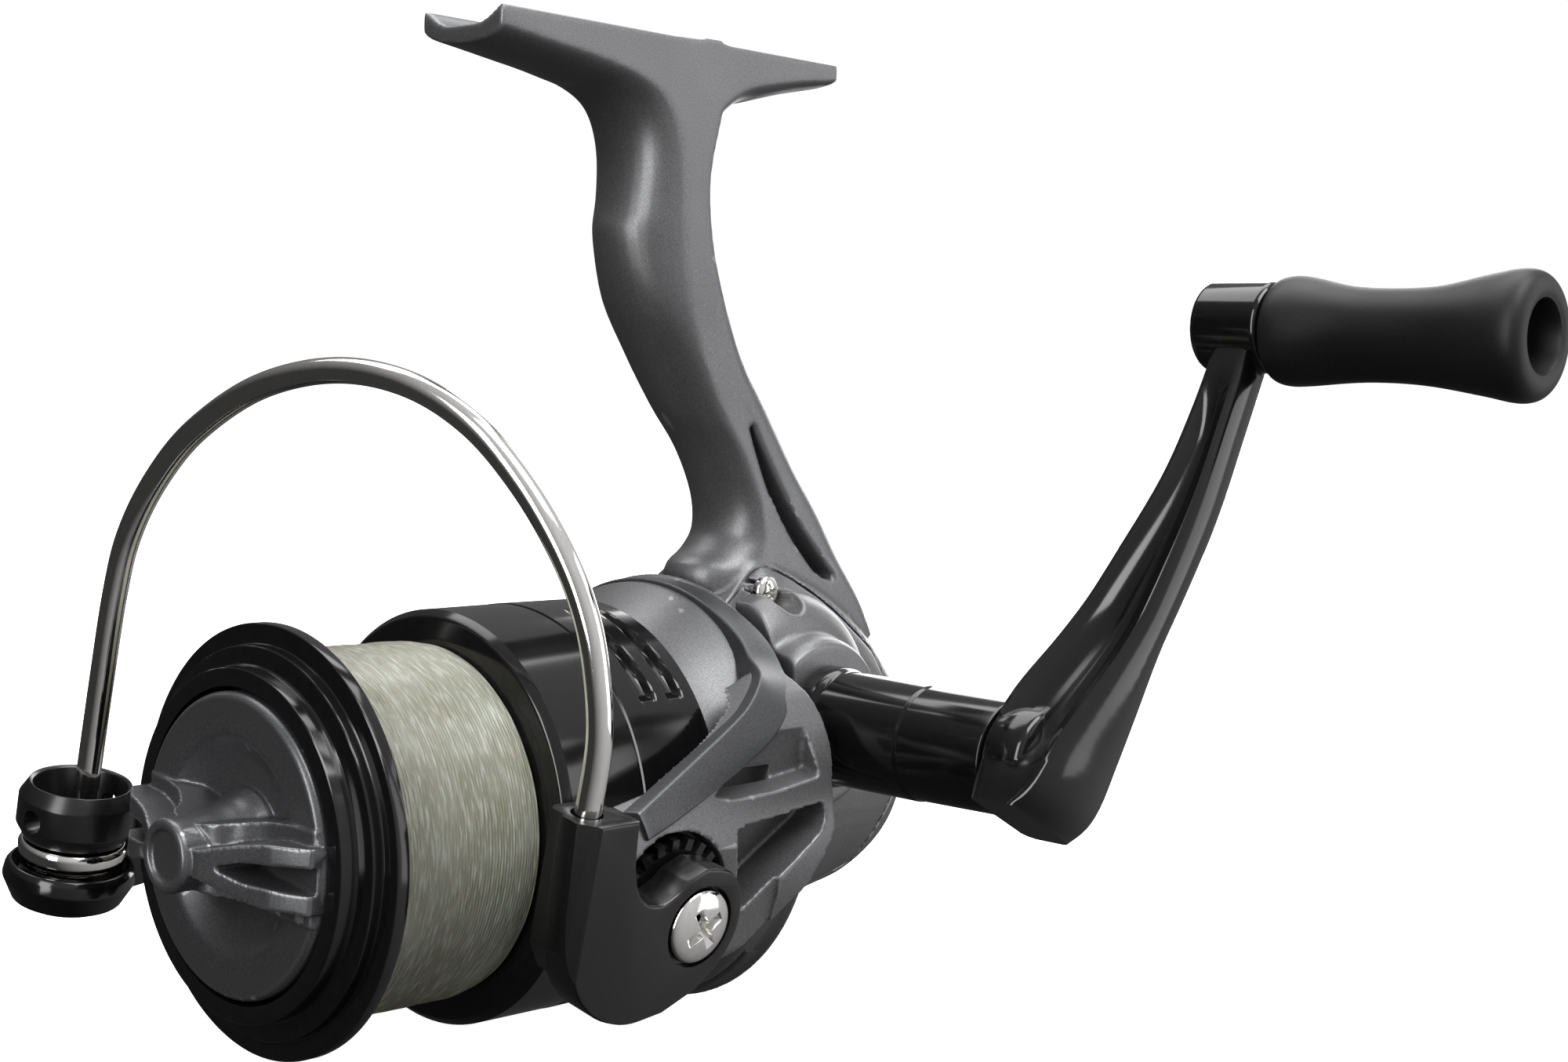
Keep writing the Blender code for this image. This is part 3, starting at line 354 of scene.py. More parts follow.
def finish(name, colour, roughness, metallic=0.0, vary=0.25, rough_vary=0.06, grain=4000, bump=0.05,
           depth=0.00002, edge=0.0, stretch=(1, 1, 1), specular=0.5):
    """A painted, moulded or polished finish: fine colour grain, uneven gloss, a painted highlight on convex
    edges and a bumpy skin.
    """
    made = bpy.data.materials.new(name)
    made.use_nodes = True
    tree = made.node_tree
    shader = tree.nodes["Principled BSDF"]
    shader.inputs["Metallic"].default_value = metallic
    shader.inputs["Specular IOR Level"].default_value = specular
    fine = noise(tree, grain, 2.0, stretch)
    broad = noise(tree, 90, 4.0)
    darker = tuple(c * (1 - vary) for c in colour)
    lighter = tuple(min(1, c * (1 + vary)) for c in colour)
    shade = mixed(tree, spread(tree, fine, 0, 1), darker, lighter)
    if edge:
        # Painted highlight: convex edges, found by pointiness, get a lighter base colour.
        shape = add(tree, "ShaderNodeNewGeometry")
        edge_highlight = spread(tree, shape.outputs["Pointiness"], 0, edge, 0.51, 0.6)
        shade = mixed(tree, edge_highlight, shade, tuple(min(1, c * 3 + 0.02) for c in colour))
    tree.links.new(shade, shader.inputs["Base Color"])
    gloss = spread(tree, broad, roughness - rough_vary, roughness + rough_vary)
    tree.links.new(gloss, shader.inputs["Roughness"])
    skin = add(tree, "ShaderNodeBump", Strength=bump, Distance=depth)
    tree.links.new(fine, skin.inputs["Height"])
    tree.links.new(skin.outputs["Normal"], shader.inputs["Normal"])
    return made


GRAPHITE = finish("graphite_paint", (0.145, 0.146, 0.149), 0.42, 0.65, 0.3, 0.04, 7000, 0.12, edge=0.5)
RIBBON = finish("graphite_band", (0.07, 0.071, 0.074), 0.42, 0.65, 0.35, 0.04, 6000, 0.15, edge=0.5)
GRAPHITE_DARK = finish("dark_paint", (0.03, 0.03, 0.032), 0.36, 0.5, 0.3, 0.05, 5000, 0.1, edge=0.4)
BLACK = finish("gloss_black", (0.004, 0.004, 0.0043), 0.13, 0.0, 0.2, 0.02, 900, 0.01, edge=0.1)
HOLDER_BLACK = finish("satin_black", (0.0065, 0.0065, 0.0068), 0.25, 0.0, 0.2, 0.03, 2500, 0.03)
DARK_GREY = finish("dark_grey_paint", (0.11, 0.111, 0.115), 0.34, 0.7, 0.3, 0.05, 6000, 0.12, edge=0.9)
RUBBER = finish("black_rubber", (0.006, 0.006, 0.0063), 0.5, 0.0, 0.25, 0.06, 3500, 0.25, depth=0.00004,
                specular=0.35)
CHROME = finish("polished_steel", (0.86, 0.845, 0.82), 0.09, 1.0, 0.04, 0.03, 2500, 0.03, stretch=(1, 1, 0.1))
STEEL = finish("plain_steel", (0.5, 0.5, 0.5), 0.3, 1.0, 0.1, 0.06, 3000, 0.06, stretch=(0.2, 1, 1))
ALLOY = finish("cast_alloy", (0.6, 0.6, 0.61), 0.42, 1.0, 0.12, 0.06, 1800, 0.2)
BRASS = finish("turned_brass", (0.66, 0.46, 0.2), 0.3, 1.0, 0.12, 0.06, 2500, 0.06)
FELT = finish("drag_fibre", (0.12, 0.1, 0.08), 0.85, 0.0, 0.4, 0.05, 3000, 0.5, depth=0.0001)


def mono_material():
    """Clear line in many turns: pale straw, with painted glints as bright flecks that run along the turns."""
    made = finish("clear_line", (0.44, 0.45, 0.36), 0.22, 0.0, 0.1, 0.05, 2500, 0.3)
    tree = made.node_tree
    shader = tree.nodes["Principled BSDF"]
    streaks = noise(tree, 1300, 5.0, (0.3, 2.6, 0.3))
    patches = noise(tree, 110, 3.0)
    base = mixed(tree, spread(tree, patches, 0, 1), (0.18, 0.178, 0.125), (0.26, 0.27, 0.22))
    # Painted glints: where the streak noise is high, the base colour turns to bright flecks.
    colour = mixed(tree, spread(tree, streaks, 0, 1, 0.48, 0.78), base, (0.44, 0.46, 0.41))
    tree.links.new(colour, shader.inputs["Base Color"])
    turns = add(tree, "ShaderNodeBump", Strength=0.9, Distance=0.0003)
    tree.links.new(streaks, turns.inputs["Height"])
    tree.links.new(turns.outputs["Normal"], shader.inputs["Normal"])
    shader.inputs["Subsurface Weight"].default_value = 0.25
    shader.inputs["Subsurface Scale"].default_value = 0.001
    return made


MONO = mono_material()


# ------------------------------------------------------------------ frame: foot, stem and gear housing
HALF_WIDTH = 7.0
FOOT_TOP = 91.2
# Each row: front edge (y, z), rear edge (y, z), how far each bulges, and a half width if not HALF_WIDTH.
FOOT_AND_STEM = [
    ((21.9, 89.3), (21.9, 91.2), 1.9, 0.0), ((29.0, 88.4), (29.0, 91.2), 2.0, 0.0),
    ((37.0, 87.5), (38.0, 91.2), 2.4, 0.0), ((43.1, 86.3), (49.0, 91.2), 3.2, 0.0),
    ((47.6, 84.2), (57.5, 91.2), 4.0, 0.0), ((50.3, 80.0), (57.0, 84.0), 5.2, 0.6),
    ((51.7, 74.0), (55.2, 75.6), 6.9, 1.0), ((52.2, 68.0), (55.7, 68.4), 7.4, 1.2),
    ((52.9, 60.5), (57.6, 61.2), 5.6, 2.4), ((55.7, 53.6), (61.0, 53.6), 3.9, 4.0, 6.6),
    ((60.0, 47.2), (65.4, 47.4), 3.7, 5.0, 6.1), ((64.3, 41.6), (71.0, 40.3), 3.6, 5.4, 6.0),
    ((67.4, 36.0), (75.6, 34.5), 3.6, 5.8, 6.1), ((68.6, 31.4), (79.6, 29.0), 4.4, 5.6, 6.4),
    ((68.2, 28.4), (82.0, 25.8), 6.2, 5.2, 6.8), ((66.8, 25.4), (84.8, 22.4), 8.2, 4.4),
    ((65.0, 19.0), (88.0, 17.5), 5.0, 3.4),
]
# Each row: y, lowest z, highest z and half width.
HOUSING_RINGS = [
    (58.4, -21.8, 22.2, 20.5), (61.0, -21.4, 24.6, 17.4), (66.0, -19.6, 29.4, 14.8),
    (72.0, -17.8, 28.6, 13.6), (79.0, -16.4, 25.8, 12.6), (86.0, -15.0, 21.0, 11.6),
    (92.4, -11.4, 14.8, 9.8), (98.2, -4.8, 8.6, 5.8),
]
COVER_OUTLINE = [
    (58.9, -15.0), (66.0, -16.0), (76.0, -15.2), (84.6, -12.2), (91.0, -2.5), (89.8, 9.6), (86.3, 15.9),
    (80.3, 20.2), (76.3, 22.9), (70.9, 25.9), (66.5, 27.8), (58.9, 28.2),
]
SCREW_PLACES = [(64.2, 24.9), (85.4, 8.6), (70.0, -12.6)]


def stem_section(front_y, front_z, rear_y, rear_z, front_bulge, rear_bulge, half_width, count=16):
    lean = Vector((0, rear_y - front_y, rear_z - front_z)).normalized()
    points = []
    for edge, bulge, side in (((front_y, front_z), front_bulge, -1), ((rear_y, rear_z), rear_bulge, 1)):
        for step in range(count + 1):
            angle = math.pi * step / count
            centre = Vector((side * half_width * math.cos(angle), *edge))
            points.append(centre + lean * side * bulge * math.sin(angle))
    return points


def stem_rows(room=0.0, side_room=0.0):
    """The stem's sections from the foot down, grown by some room fore and aft and at the sides."""
    rows = [(*front, *rear, a + room, b + room, (width[0] if width else HALF_WIDTH) + side_room)
            for front, rear, a, b, *width in FOOT_AND_STEM]
    return [stem_section(*row) for row in spline(rows, 4)]


def housing_ring(place, low, high, half_width, inset=0.0, count=56):
    """A soft-cornered oval across the housing."""
    points = []
    for i in range(count):
        angle = 2 * math.pi * i / count
        c, s = math.cos(angle), math.sin(angle)
        x = math.copysign(abs(c) ** 0.8, c) * (half_width - inset)
        z = math.copysign(abs(s) ** 0.8, s) * ((high - low) / 2 - inset)
        points.append((x, place, (low + high) / 2 + z))
    return points


def case_form():
    return loft([housing_ring(*row) for row in spline(HOUSING_RINGS, 5)])


def rear_foot_form():
    rings = []
    reach = HALF_WIDTH + 0.02
    for y, z in spline([(77.3, 89.4), (70.0, 88.6), (62.0, 87.0), (57.4, 84.2), (54.2, 80.4)], 5):
        bulge = 1.0 + 1.4 * min(1.0, (77.3 - y) / 12)
        low = [(reach * math.cos(math.radians(a)), y, z - bulge * math.sin(math.radians(a)))
               for a in range(0, 181, 10)]
        rings.append([(reach, y, FOOT_TOP), *low, (-reach, y, FOOT_TOP)])
    return loft(rings)


def at_drive(profile, steps=96):
    return lathe(profile, "X", steps, (0, DRIVE_Y, DRIVE_Z))


def housing_hollows():
    rows = [(58.0, -19.0, 20.5, 19.0), *HOUSING_RINGS[1:6], (93.2, -9.6, 13.4, 9.0)]
    hollow = loft([housing_ring(y, low, min(high, 24.4), half, 1.8, 24) for y, low, high, half in rows])
    return [
        hollow,
        lathe([(10.6, 59.0), (20.4, 59.0), (20.4, 55.2), (17.6, 51.0), (10.6, 50.4)], "Y", 48),
        lathe(rod(8.4, 40, 53.3), "Y", 48), lathe(rod(5.6, 50, 60), "Y", 48),
        at_drive(rod(11.9, 4.5, 7.15)), at_drive(rod(5.5, -24, -6)),
        prism([(-6.0, -4.5), (6.0, -4.5), (6.0, 8.0), (-6.0, 8.0)], 90, 102, "Y"),
        block((-20, 94.7, -20), (20, 110, 30)),
    ]


def foot_cutters():
    """The saddle for the rod with its flat centre land, and the window recess on each side of the stem."""
    side = spline([(2.0, 89.4), (4.2, 89.9), (6.3, 91.25), (7.4, 92.4)], 5)
    saddle = prism(side + [(7.4, 96), (-7.4, 96)] + [(-x, z) for x, z in reversed(side)], 10, 90, "Y")
    front = spline([(62.6, 50.0), (66.6, 43.6), (73.8, 33.6), (81.6, 25.2)], 6)
    rear = spline([(81.6, 25.2), (77.6, 26.2), (72.6, 31.4), (68.0, 38.2), (62.6, 50.0)], 6)
    window = front + rear[1:-1]
    return [saddle, prism(window, 2.6, 14, "X"), prism(window, -14, -2.6, "X")]


def body_housing():
    nose = lathe([(0, 60.4), (22.3, 57.7), (22.3, 54.6), (19.0, 49.4), (10.4, 48.6), (10.4, 46.5), (0, 46.5)],
                 "Y", 128)
    left_boss = at_drive([(0, -9.0), (10.4, -9.0), (10.4, -18.8), (9.4, -20.9), (0, -20.9)])
    body = join(loft(stem_rows()), rear_foot_form(), case_form(), nose, left_boss)
    grown = [(y + (0.3 if y > 60 else -0.3), z + (0.3 if z > 0 else -0.3)) for y, z in COVER_OUTLINE]
    cut(body, lathe(ring(22.5, 40, 30, 58.3), "Y", 128), prism(grown, 6.9, 40, "X"), *housing_hollows(),
        *foot_cutters())
    cast(body, 0.38, 4, 0.45)
    piece("housing", body, REEL, "frame", "graphite", GRAPHITE, "body_housing", angle=50)


def side_cover():
    cover = common(case_form(), prism(COVER_OUTLINE, 7.2, 40, "X"))
    dome = [(0, 10.0), (15.6, 10.0), (15.6, 12.4, 0.5), (14.6, 14.6, 1.5), (12.6, 16.2, 1.5), (10.9, 17.0, 0.6),
            (10.5, 19.6, 0.3), (9.8, 20.6, 0.3), (0, 20.6)]
    boss = at_drive(rounded(dome, 0.1, closed=False))
    join(cover, boss)
    screw_rooms = [lathe([(0, 30), (2.5, 30), (2.3, 9.4), (1.2, 9.4), (1.2, 0), (0, 0)], "X", 48, (0, y, z))
                   for y, z in SCREW_PLACES]
    stem_gap = loft(stem_rows(0.15, 0.2)[-22:])
    cut(cover, block((0, 30, -40), (40, 58.9, 50)), at_drive(rod(11.0, 0, 13.4)), at_drive(rod(5.6, 5, 30)),
        stem_gap, *screw_rooms)
    cast(cover, 0.28, 3, 0.5)
    piece("gear_cover", cover, REEL, "frame", "graphite", GRAPHITE, "side_cover", angle=50)


def cross_screw(head_r, head_h, shank_r, length, axis, centre, toward=1, turn=45):
    """A domed screw with a cross recess. The underside of its head is at the centre."""
    dome = [(head_r * math.sin(a), head_h * (0.42 + 0.58 * math.cos(a)))
            for a in np.linspace(0, math.pi / 2, 8)]
    profile = [(0, dome[0][1]), *dome[1:], (head_r, 0.12), (head_r - 0.12, 0), (shank_r, 0), (shank_r, -length),
               (0, -length)]
    head = lathe([(r, a * toward) for r, a in profile], axis, 48)
    bars = []
    for angle in (turn, turn + 90):
        span, width = head_r * 0.68, head_r * 0.15
        corners = ((-span, -width), (span, -width), (span, width), (-span, width))
        bar = loft([[Vector((u * wide, v * wide, w)) for u, v in corners]
                    for w, wide in ((head_h * 0.1, 0.45), (head_h * 1.3, 1.1))])
        turned = Matrix.Rotation(math.radians(angle), 4, "Z")
        flip = Matrix.Rotation(math.pi, 4, "Y") if toward < 0 else Matrix.Identity(4)
        upright = Matrix.Rotation(math.pi / 2, 4, "Y") if axis == "X" else Matrix.Identity(4)
        bar.data.transform(upright @ flip @ turned)
        bars.append(bar)
    cut(head, *bars)
    bevelled(head, 0.07, 30, 2)
    head.data.transform(Matrix.Translation(centre))
    return head


def small_frame_pieces():
    for number, (y, z) in enumerate(SCREW_PLACES, 1):
        screw = cross_screw(1.9, 1.5, 0.9, 6.2, "X", (9.7, y, z), turn=20)
        piece(f"cover_screw_head_{number}", screw, REEL, "frame", "chrome", CHROME, f"cover_screw_{number}")
    rings = [housing_ring(*row) for row in spline(HOUSING_RINGS[-2:], 6)]
    tail = cut(loft(rings), block((-20, 80, -20), (20, 95.0, 30)))
    join(tail, block((-5.6, 93.0, -4.1), (5.6, 95.6, 7.6)))
    bevelled(tail, 0.5, 30)
    piece("tail_cap", tail, REEL, "frame", "graphite_dark", GRAPHITE_DARK, "rear_cover")
    knurl = [(0, -17.6), (5.2, -17.6), (5.2, -21.2), (6.1, -21.3), (6.1, -22.6), (5.0, -23.4), (0, -23.4)]
    cap = lathe(rounded(knurl, 0.3, closed=False), "X", 144, (0, DRIVE_Y, DRIVE_Z),
                lambda r, p, a: (r - (0.25 if r > 5.6 and math.cos(24 * a) > 0.3 else 0), p))
    piece("left_cap", cap, REEL, "frame", "gloss_black", BLACK, "handle_cap")


# ------------------------------------------------------------------ rotor
# The arms' outer and inner radius at each turn from the pivots. They draw in where each band sweeps to the rim.
ARM_RADIUS, RIM_BORE = 31.7, 25.2
ARM_OUTSIDE = [(0, ARM_RADIUS), (26, 31.4), (33, 31.1), (41, 30.2), (47, 28.6), (54, 26.9), (62, 26.0),
               (150, ARM_RADIUS), (180, ARM_RADIUS)]
ARM_INSIDE = [(0, RIM_BORE), (19, RIM_BORE), (24, 29.0), (33, 28.9), (41, 28.0), (47, 26.4), (54, RIM_BORE),
              (62, RIM_BORE), (180, RIM_BORE)]


def arm_outline():
    hub = arc((PIVOT_Y, 0), 10.4, 300, 140, 28)
    top = spline([(20.8, 9.2), (26.0, 11.5), (33.0, 14.4), (40.0, 17.1), (45.0, 19.1), (49.0, 20.9),
                  (53.4, 22.4), (55.2, 19.0), (55.2, 14.0)], 5)
    return hub + top + rounded([(54.6, 11.0), (54.8, 5.4), (51.2, 0.0), (41.8, -7.2)], 1.2, closed=False)


def following(reaches):
    """A shape for lathe() whose radius follows the turn, the same on both arms."""
    turns, radii = zip(*reaches)

    def shape(radius, place, angle):
        return (float(np.interp(math.degrees(angle) % 180, turns, radii)) if radius else 0, place)

    return shape


def arm_pockets(side):
    """The two hollows between the struts on an arm's outer face."""
    upper = rounded([(35.3, 11.4), (36.3, 12.3), (43.2, 15.3), (49.4, 17.6), (51.2, 17.9), (51.7, 16.4),
                     (52.1, 13.6), (52.6, 12.0), (45.2, 11.1), (38.4, 10.9)], 0.7)
    lower = rounded([(38.8, 5.6), (38.6, 7.8), (45.7, 8.5), (52.8, 9.2), (53.2, 7.4), (52.6, 6.0), (45.7, 1.3),
                     (41.2, -2.0), (40.2, -1.0)], 0.7)
    reach = (26.0, 40) if side > 0 else (-40, -26.0)
    return [prism([(y, z * side) for y, z in outline], *reach, "X") for outline in (upper, lower)]


def rotor():
    profile = [
        (20.4, 25.8), (20.9, 25.2), (21.6, 25.8), (21.6, 45.2), (22.6, 47.0), (25.0, 51.6), (25.5, 52.6),
        (25.6, 55.0), (26.4, 56.6), (26.1, 57.0), (25.0, 57.0), (24.0, 53.6), (20.8, 46.4), (20.4, 42.2),
        (7.0, 42.2), (7.0, 43.9), (3.4, 43.9), (3.4, 36.5), (7.4, 36.5), (7.4, 39.8), (20.4, 39.8),
    ]
    body = lathe(profile, "Y", 160)
    cutters = [lathe([(0, 60), (25.2, 60), (25.2, 57.0), (24.2, 53.6), (21.0, 46.5), (0, 46.5)], "Y", 128)]
    for side in (1, -1):
        reach = (18, 33.2) if side > 0 else (-33.2, -18)
        arm = prism([(y, z * side) for y, z in arm_outline()], *reach, "X")
        common(arm, lathe(rod(ARM_RADIUS, 10, 58), "Y", 180, shape=following(ARM_OUTSIDE)))
        cut(arm, lathe(rod(RIM_BORE, 10, 47.0), "Y", 180, shape=following(ARM_INSIDE)))
        join(body, arm)
        flat = [(4, -30), (46, -30), (46, 30), (4, 30)]
        cutters.append(prism(flat, *sorted((side * 31.0, side * 60)), "X"))
        cutters.append(lathe(rod(8.6, *sorted((side * 28.0, side * 50))), "X", 64, PIVOT))
        cutters += arm_pockets(side)
    cut(body, *cutters)
    for side in (1, -1):
        join(body, lathe(rod(3.0, *sorted((side * 27.0, side * 31.0))), "X", 48, PIVOT))
        cut(body, lathe(rod(1.5, *sorted((side * 25.9, side * 50))), "X", 24, PIVOT))
    cast(body, 0.24, 2, 0.42)
    piece("rotor_body", body, ROTOR, "rotor", "graphite", GRAPHITE, "rotor", angle=50)


def ribbon(side):
    """The raised band that rounds the rotor's rear rim and sweeps down onto a bail arm."""
    # Each row: turn from the pivot in degrees, radius, y and the band's width.
    route = [(150, 25.5, 54.8, 2.6), (120, 25.6, 54.8, 2.8), (95, 25.7, 54.8, 3.2), (75, 26.0, 54.7, 3.8),
             (60, 26.8, 54.2, 4.4), (52, 27.4, 53.2, 4.9), (45, 29.2, 51.2, 5.0), (40, 30.3, 48.4, 5.0),
             (35, 30.9, 44.6, 4.9), (31, 31.2, 40.2, 4.7), (26.5, 31.4, 34.6, 4.4), (21.5, 31.6, 28.4, 4.0),
             (18, 31.6, 24.0, 3.4)]
    sections = []
    stations = spline(route, 6)
    places = [Vector((radius * math.cos(math.radians(angle)), y, radius * math.sin(math.radians(angle))))
              for angle, radius, y, width in stations]
    for i, station in enumerate(stations):
        angle, width = station[0], station[-1]
        out = Vector((math.cos(math.radians(angle)), 0, math.sin(math.radians(angle))))
        forward = (places[min(i + 1, len(places) - 1)] - places[max(i - 1, 0)]).normalized()
        across = forward.cross(out).normalized()
        depth = float(np.interp(angle, [50, 60], [2.2, 1.6]))
        half = width / 2
        section = rounded([(-half, -depth, 0.1), (-half, 0.35, 0.35), (0, 0.5, 2.0), (half, 0.35, 0.35),
                           (half, -depth, 0.1)], 0.35)
        sections.append([places[i] + across * u + out * v for u, v in section])
    band = loft(sections)
    if side < 0:
        band.data.transform(Matrix.Rotation(math.pi, 4, "Y"))
    piece(f"rotor_band_{'near' if side > 0 else 'far'}", band, ROTOR, "rotor", "graphite", RIBBON)


def ribbed_hub():
    """The ribbed black drum in the near arm's recess, which turns with the bail."""
    outline = []
    for tooth in range(22):
        for share, radius in ((0.0, 6.7), (0.45, 6.7), (0.52, 8.0), (0.93, 8.0)):
            angle = 2 * math.pi * (tooth + share) / 22
            outline.append((PIVOT_Y + radius * math.cos(angle), radius * math.sin(angle)))
    hub = prism(outline, 28.4, 30.9, "X")
    join(hub, lathe(rod(7.3, 28.5, 30.4), "X", 64, PIVOT))
    cut(hub, lathe(rod(3.3, 20, 40), "X", 48, PIVOT))
    bevelled(hub, 0.12, 40, 2)
    piece("ribbed_hub", hub, ROTOR, "bail", "gloss_black", BLACK, "bail_hub")


def rotor_screws():
    for side, label in ((1, "near"), (-1, "far")):
        screw = cross_screw(4.2, 1.9, 1.2, 8.6, "X", (side * 35.1, PIVOT_Y, 0), side, 32)
        piece(f"pivot_screw_head_{label}", screw, ROTOR, "rotor", "chrome", CHROME, f"pivot_screw_{label}")


# ------------------------------------------------------------------ bail
def bail_holder():
    wall = rounded([(10.5, 13.4), (10.9, 3.0), (11.4, -1.6), (13.0, -5.4), (16.2, -8.4), (20.8, -10.0),
                    (26.0, -9.4)], 2.0, closed=False)
    eye = spline([(30.4, -7.6), (33.4, -5.0), (35.3, -1.4), (35.1, 2.6), (32.9, 5.7), (29.0, 6.6)], 6)
    notch = spline([(26.6, 5.6), (24.9, 4.2), (22.6, 3.4), (19.9, 4.6), (18.3, 8.0), (17.6, 13.4)], 6)
    holder = prism(wall + eye + notch, 31.3, 36.0, "X", 0.35)
    inner_wall = [(11.0, 13.4), (11.4, -1.0), (13.4, -4.6), (16.0, -5.4), (16.6, -1.0), (17.0, 13.4)]
    join(holder, prism(inner_wall, 29.0, 35, "X"))
    bore = [(0, 60), (5.0, 60), (4.6, 35.4), (4.6, 34.9), (2.0, 34.9), (2.0, 20), (0, 20)]
    cut(holder, lathe(bore, "X", 64, PIVOT), prism([(37, 9.4), (37, 13.4), (33.0, 9.4)], -7, 20, "Z"),
        prism([(27.5, 9.4), (27.5, 13.6), (31.0, 9.4)], -7, 20, "Z"),
        lathe(rod(1.75, 5.0, 30), "Z", 48, (32.2, 13.5, 0)))
    bevelled(holder, 0.3, 30)
    piece("wire_holder", holder, ROTOR, "bail", "gloss_black", HOLDER_BLACK, "bail_holder")


WIRE_RADIUS = 1.4


def bail_wire():
    route = [
        (32.2, 13.5, 5.6), (32.4, 13.4, 13.0), (32.5, 13.2, 21.0), (31.4, 12.5, 27.4), (29.4, 11.5, 33.4),
        (26.0, 10.1, 39.0), (20.4, 8.2, 44.8), (13.6, 6.0, 49.4), (5.6, 3.5, 51.6), (-3.4, 1.0, 50.8),
        (-12.6, -1.4, 46.8), (-20.4, -3.2, 40.2), (-25.4, -4.1, 33.4), (-28.6, -4.6, 26.2),
        (-30.0, -4.6, 19.0), (-30.8, -4.4, 8.0), (-31.6, -4.1, -6.6),
    ]
    path = spline(route, 10)
    wire = tube(path, [WIRE_RADIUS] * len(path), 32)
    piece("bail_loop", wire, ROTOR, "bail", "chrome", CHROME, "bail_wire", angle=60)


def bail_lever():
    end = [(14.0, 1.6), (2.0, -11.6), (-2.6, -14.4), (-1.0, -19.2), (6.0, -18.4), (18.0, -9.6)]
    reach = [*arc((PIVOT_Y, 0), 8.4, 265, 450, 30), *rounded(end, 1.5, closed=False)]
    lever = prism(reach, -35.6, -31.3, "X", 0.4)
    cup = [(0, -14.3), (6.85, -14.3), (7.3, -14.9), (7.5, -16.2), (6.2, -18.8), (4.8, -19.5), (0, -19.6)]
    join(lever, lathe(rounded(cup, 0.2, closed=False), "Z", 96, ROLLER))
    bowl = [(0, -10), (6.75, -10), (6.6, -15.0), (6.3, -16.4), (0, -16.4)]
    screw_hole = [(0, -10), (1.7, -10), (1.7, -18.0), (3.2, -18.0), (3.2, -30), (0, -30)]
    eye = [(0, -60), (4.7, -60), (4.7, -34.6), (2.0, -34.6), (2.0, -20), (0, -20)]
    cut(lever, lathe(bowl, "Z", 96, ROLLER), lathe(screw_hole, "Z", 48, ROLLER), lathe(eye, "X", 48, PIVOT))
    bevelled(lever, 0.2, 34)
    piece("roller_lever", lever, ROTOR, "bail", "gloss_black", BLACK, "bail_arm")


def roller_set():
    wall = [(0, -9.6), (4.6, -9.0), (5.3, -4.9), (5.7, -4.6), (6.7, -6.3), (6.7, -9.6), (5.7, -11.3),
            (0, -11.3)]
    collar = lathe(rounded(wall, 0.12, closed=False), "Z", 96, ROLLER)
    cut(collar, lathe(rod(1.7, -14, -10.2), "Z", 32, ROLLER))
    for angle in (-78, 102):
        hole = lathe([(0, 9), (1.6, 9), (1.3, 6.2), (1.3, 4.2), (0, 4.2)], "X", 32)
        middle = Matrix.Translation((ROLLER[0], ROLLER[1], -8.3))
        hole.data.transform(middle @ Matrix.Rotation(math.radians(angle), 4, "Z"))
        cut(collar, hole)
    bevelled(collar, 0.15, 40, 2)
    piece("roller_collar", collar, ROTOR, "bail", "gloss_black", HOLDER_BLACK, "wire_collar")
    groove = [(1.8, -11.6), (5.8, -11.6, 0.15), (6.2, -12.1, 0.3), (6.0, -13.5, 0.6), (5.3, -14.6, 0.6),
              (5.95, -15.6, 0.2), (5.7, -16.1, 0.15), (1.8, -16.1)]
    wheel = lathe(rounded(groove, 0.05), "Z", 96, ROLLER)
    piece("guide_roller", wheel, ROTOR, "roller", "chrome", CHROME, "line_roller")
    screw = cross_screw(2.8, 1.1, 1.4, 7.6, "Z", (ROLLER[0], ROLLER[1], -18.3), -1)
    piece("roller_bolt", screw, ROTOR, "bail", "steel", STEEL, "roller_screw")


# ------------------------------------------------------------------ spool, line and drag knob
SKIRT_RADIUS = 23.85
SLOT_GROUPS = 5
SLOT_PLACES = (36.4, 40.6)
SLOT_DEPTH = 0.95


def spool():

    def slotted(radius, place, angle):
        """Pairs of long tapered recesses round the rear of the skirt."""
        if radius < 23.2 or not 33 < place < 44:
            return radius, place
        turn = (0.314 - angle / (2 * math.pi) * SLOT_GROUPS) % 1.0
        depth = 0.0
        for centre in SLOT_PLACES:
            share = (turn - 0.18) / 0.62
            if 0 < share < 1:
                half = 0.35 + 0.85 * share
                ends = float(smoothstep(0, 0.3, share) * smoothstep(1, 0.92, share))
                depth = max(depth, ends * float(smoothstep(half + 0.2, half - 0.35, abs(place - centre))))
        return radius - SLOT_DEPTH * depth, place

    front = [(16.9, -5.4), (18.9, -5.4), (18.9, -3.4, 0.5), (21.1, -3.1), (21.1, -1.8, 0.3), (23.4, -1.8),
             (23.4, -0.2), (20.4, 0.2), (18.2, 0.4), (18.2, 20.3), (20.6, 20.3), (22.9, 20.6), (23.7, 21.6)]
    groove = [(23.8, 31.7), (23.62, 31.85), (23.62, 32.1), (SKIRT_RADIUS, 32.25)]
    skirt = [(SKIRT_RADIUS, y) for y in np.arange(33.2, 43.6, 0.2)]
    inside = [(SKIRT_RADIUS, 43.7), (23.4, 44.1), (22.5, 44.1), (22.4, 24.2), (16.2, 22.6), (16.2, 10.6),
              (5.4, 10.6), (5.4, 21.2), (2.4, 21.2), (2.4, 8.4), (12.0, 8.4), (12.0, -0.8), (16.9, -0.8),
              (16.9, -3.0)]
    profile = rounded(front, 0.25, 3, False) + groove + skirt + rounded(inside, 0.1, 2, False)
    body = lathe(profile, "Y", 320, shape=slotted)
    piece("spool_body", body, REEL, "spool", "gloss_black", BLACK, "spool", angle=30)


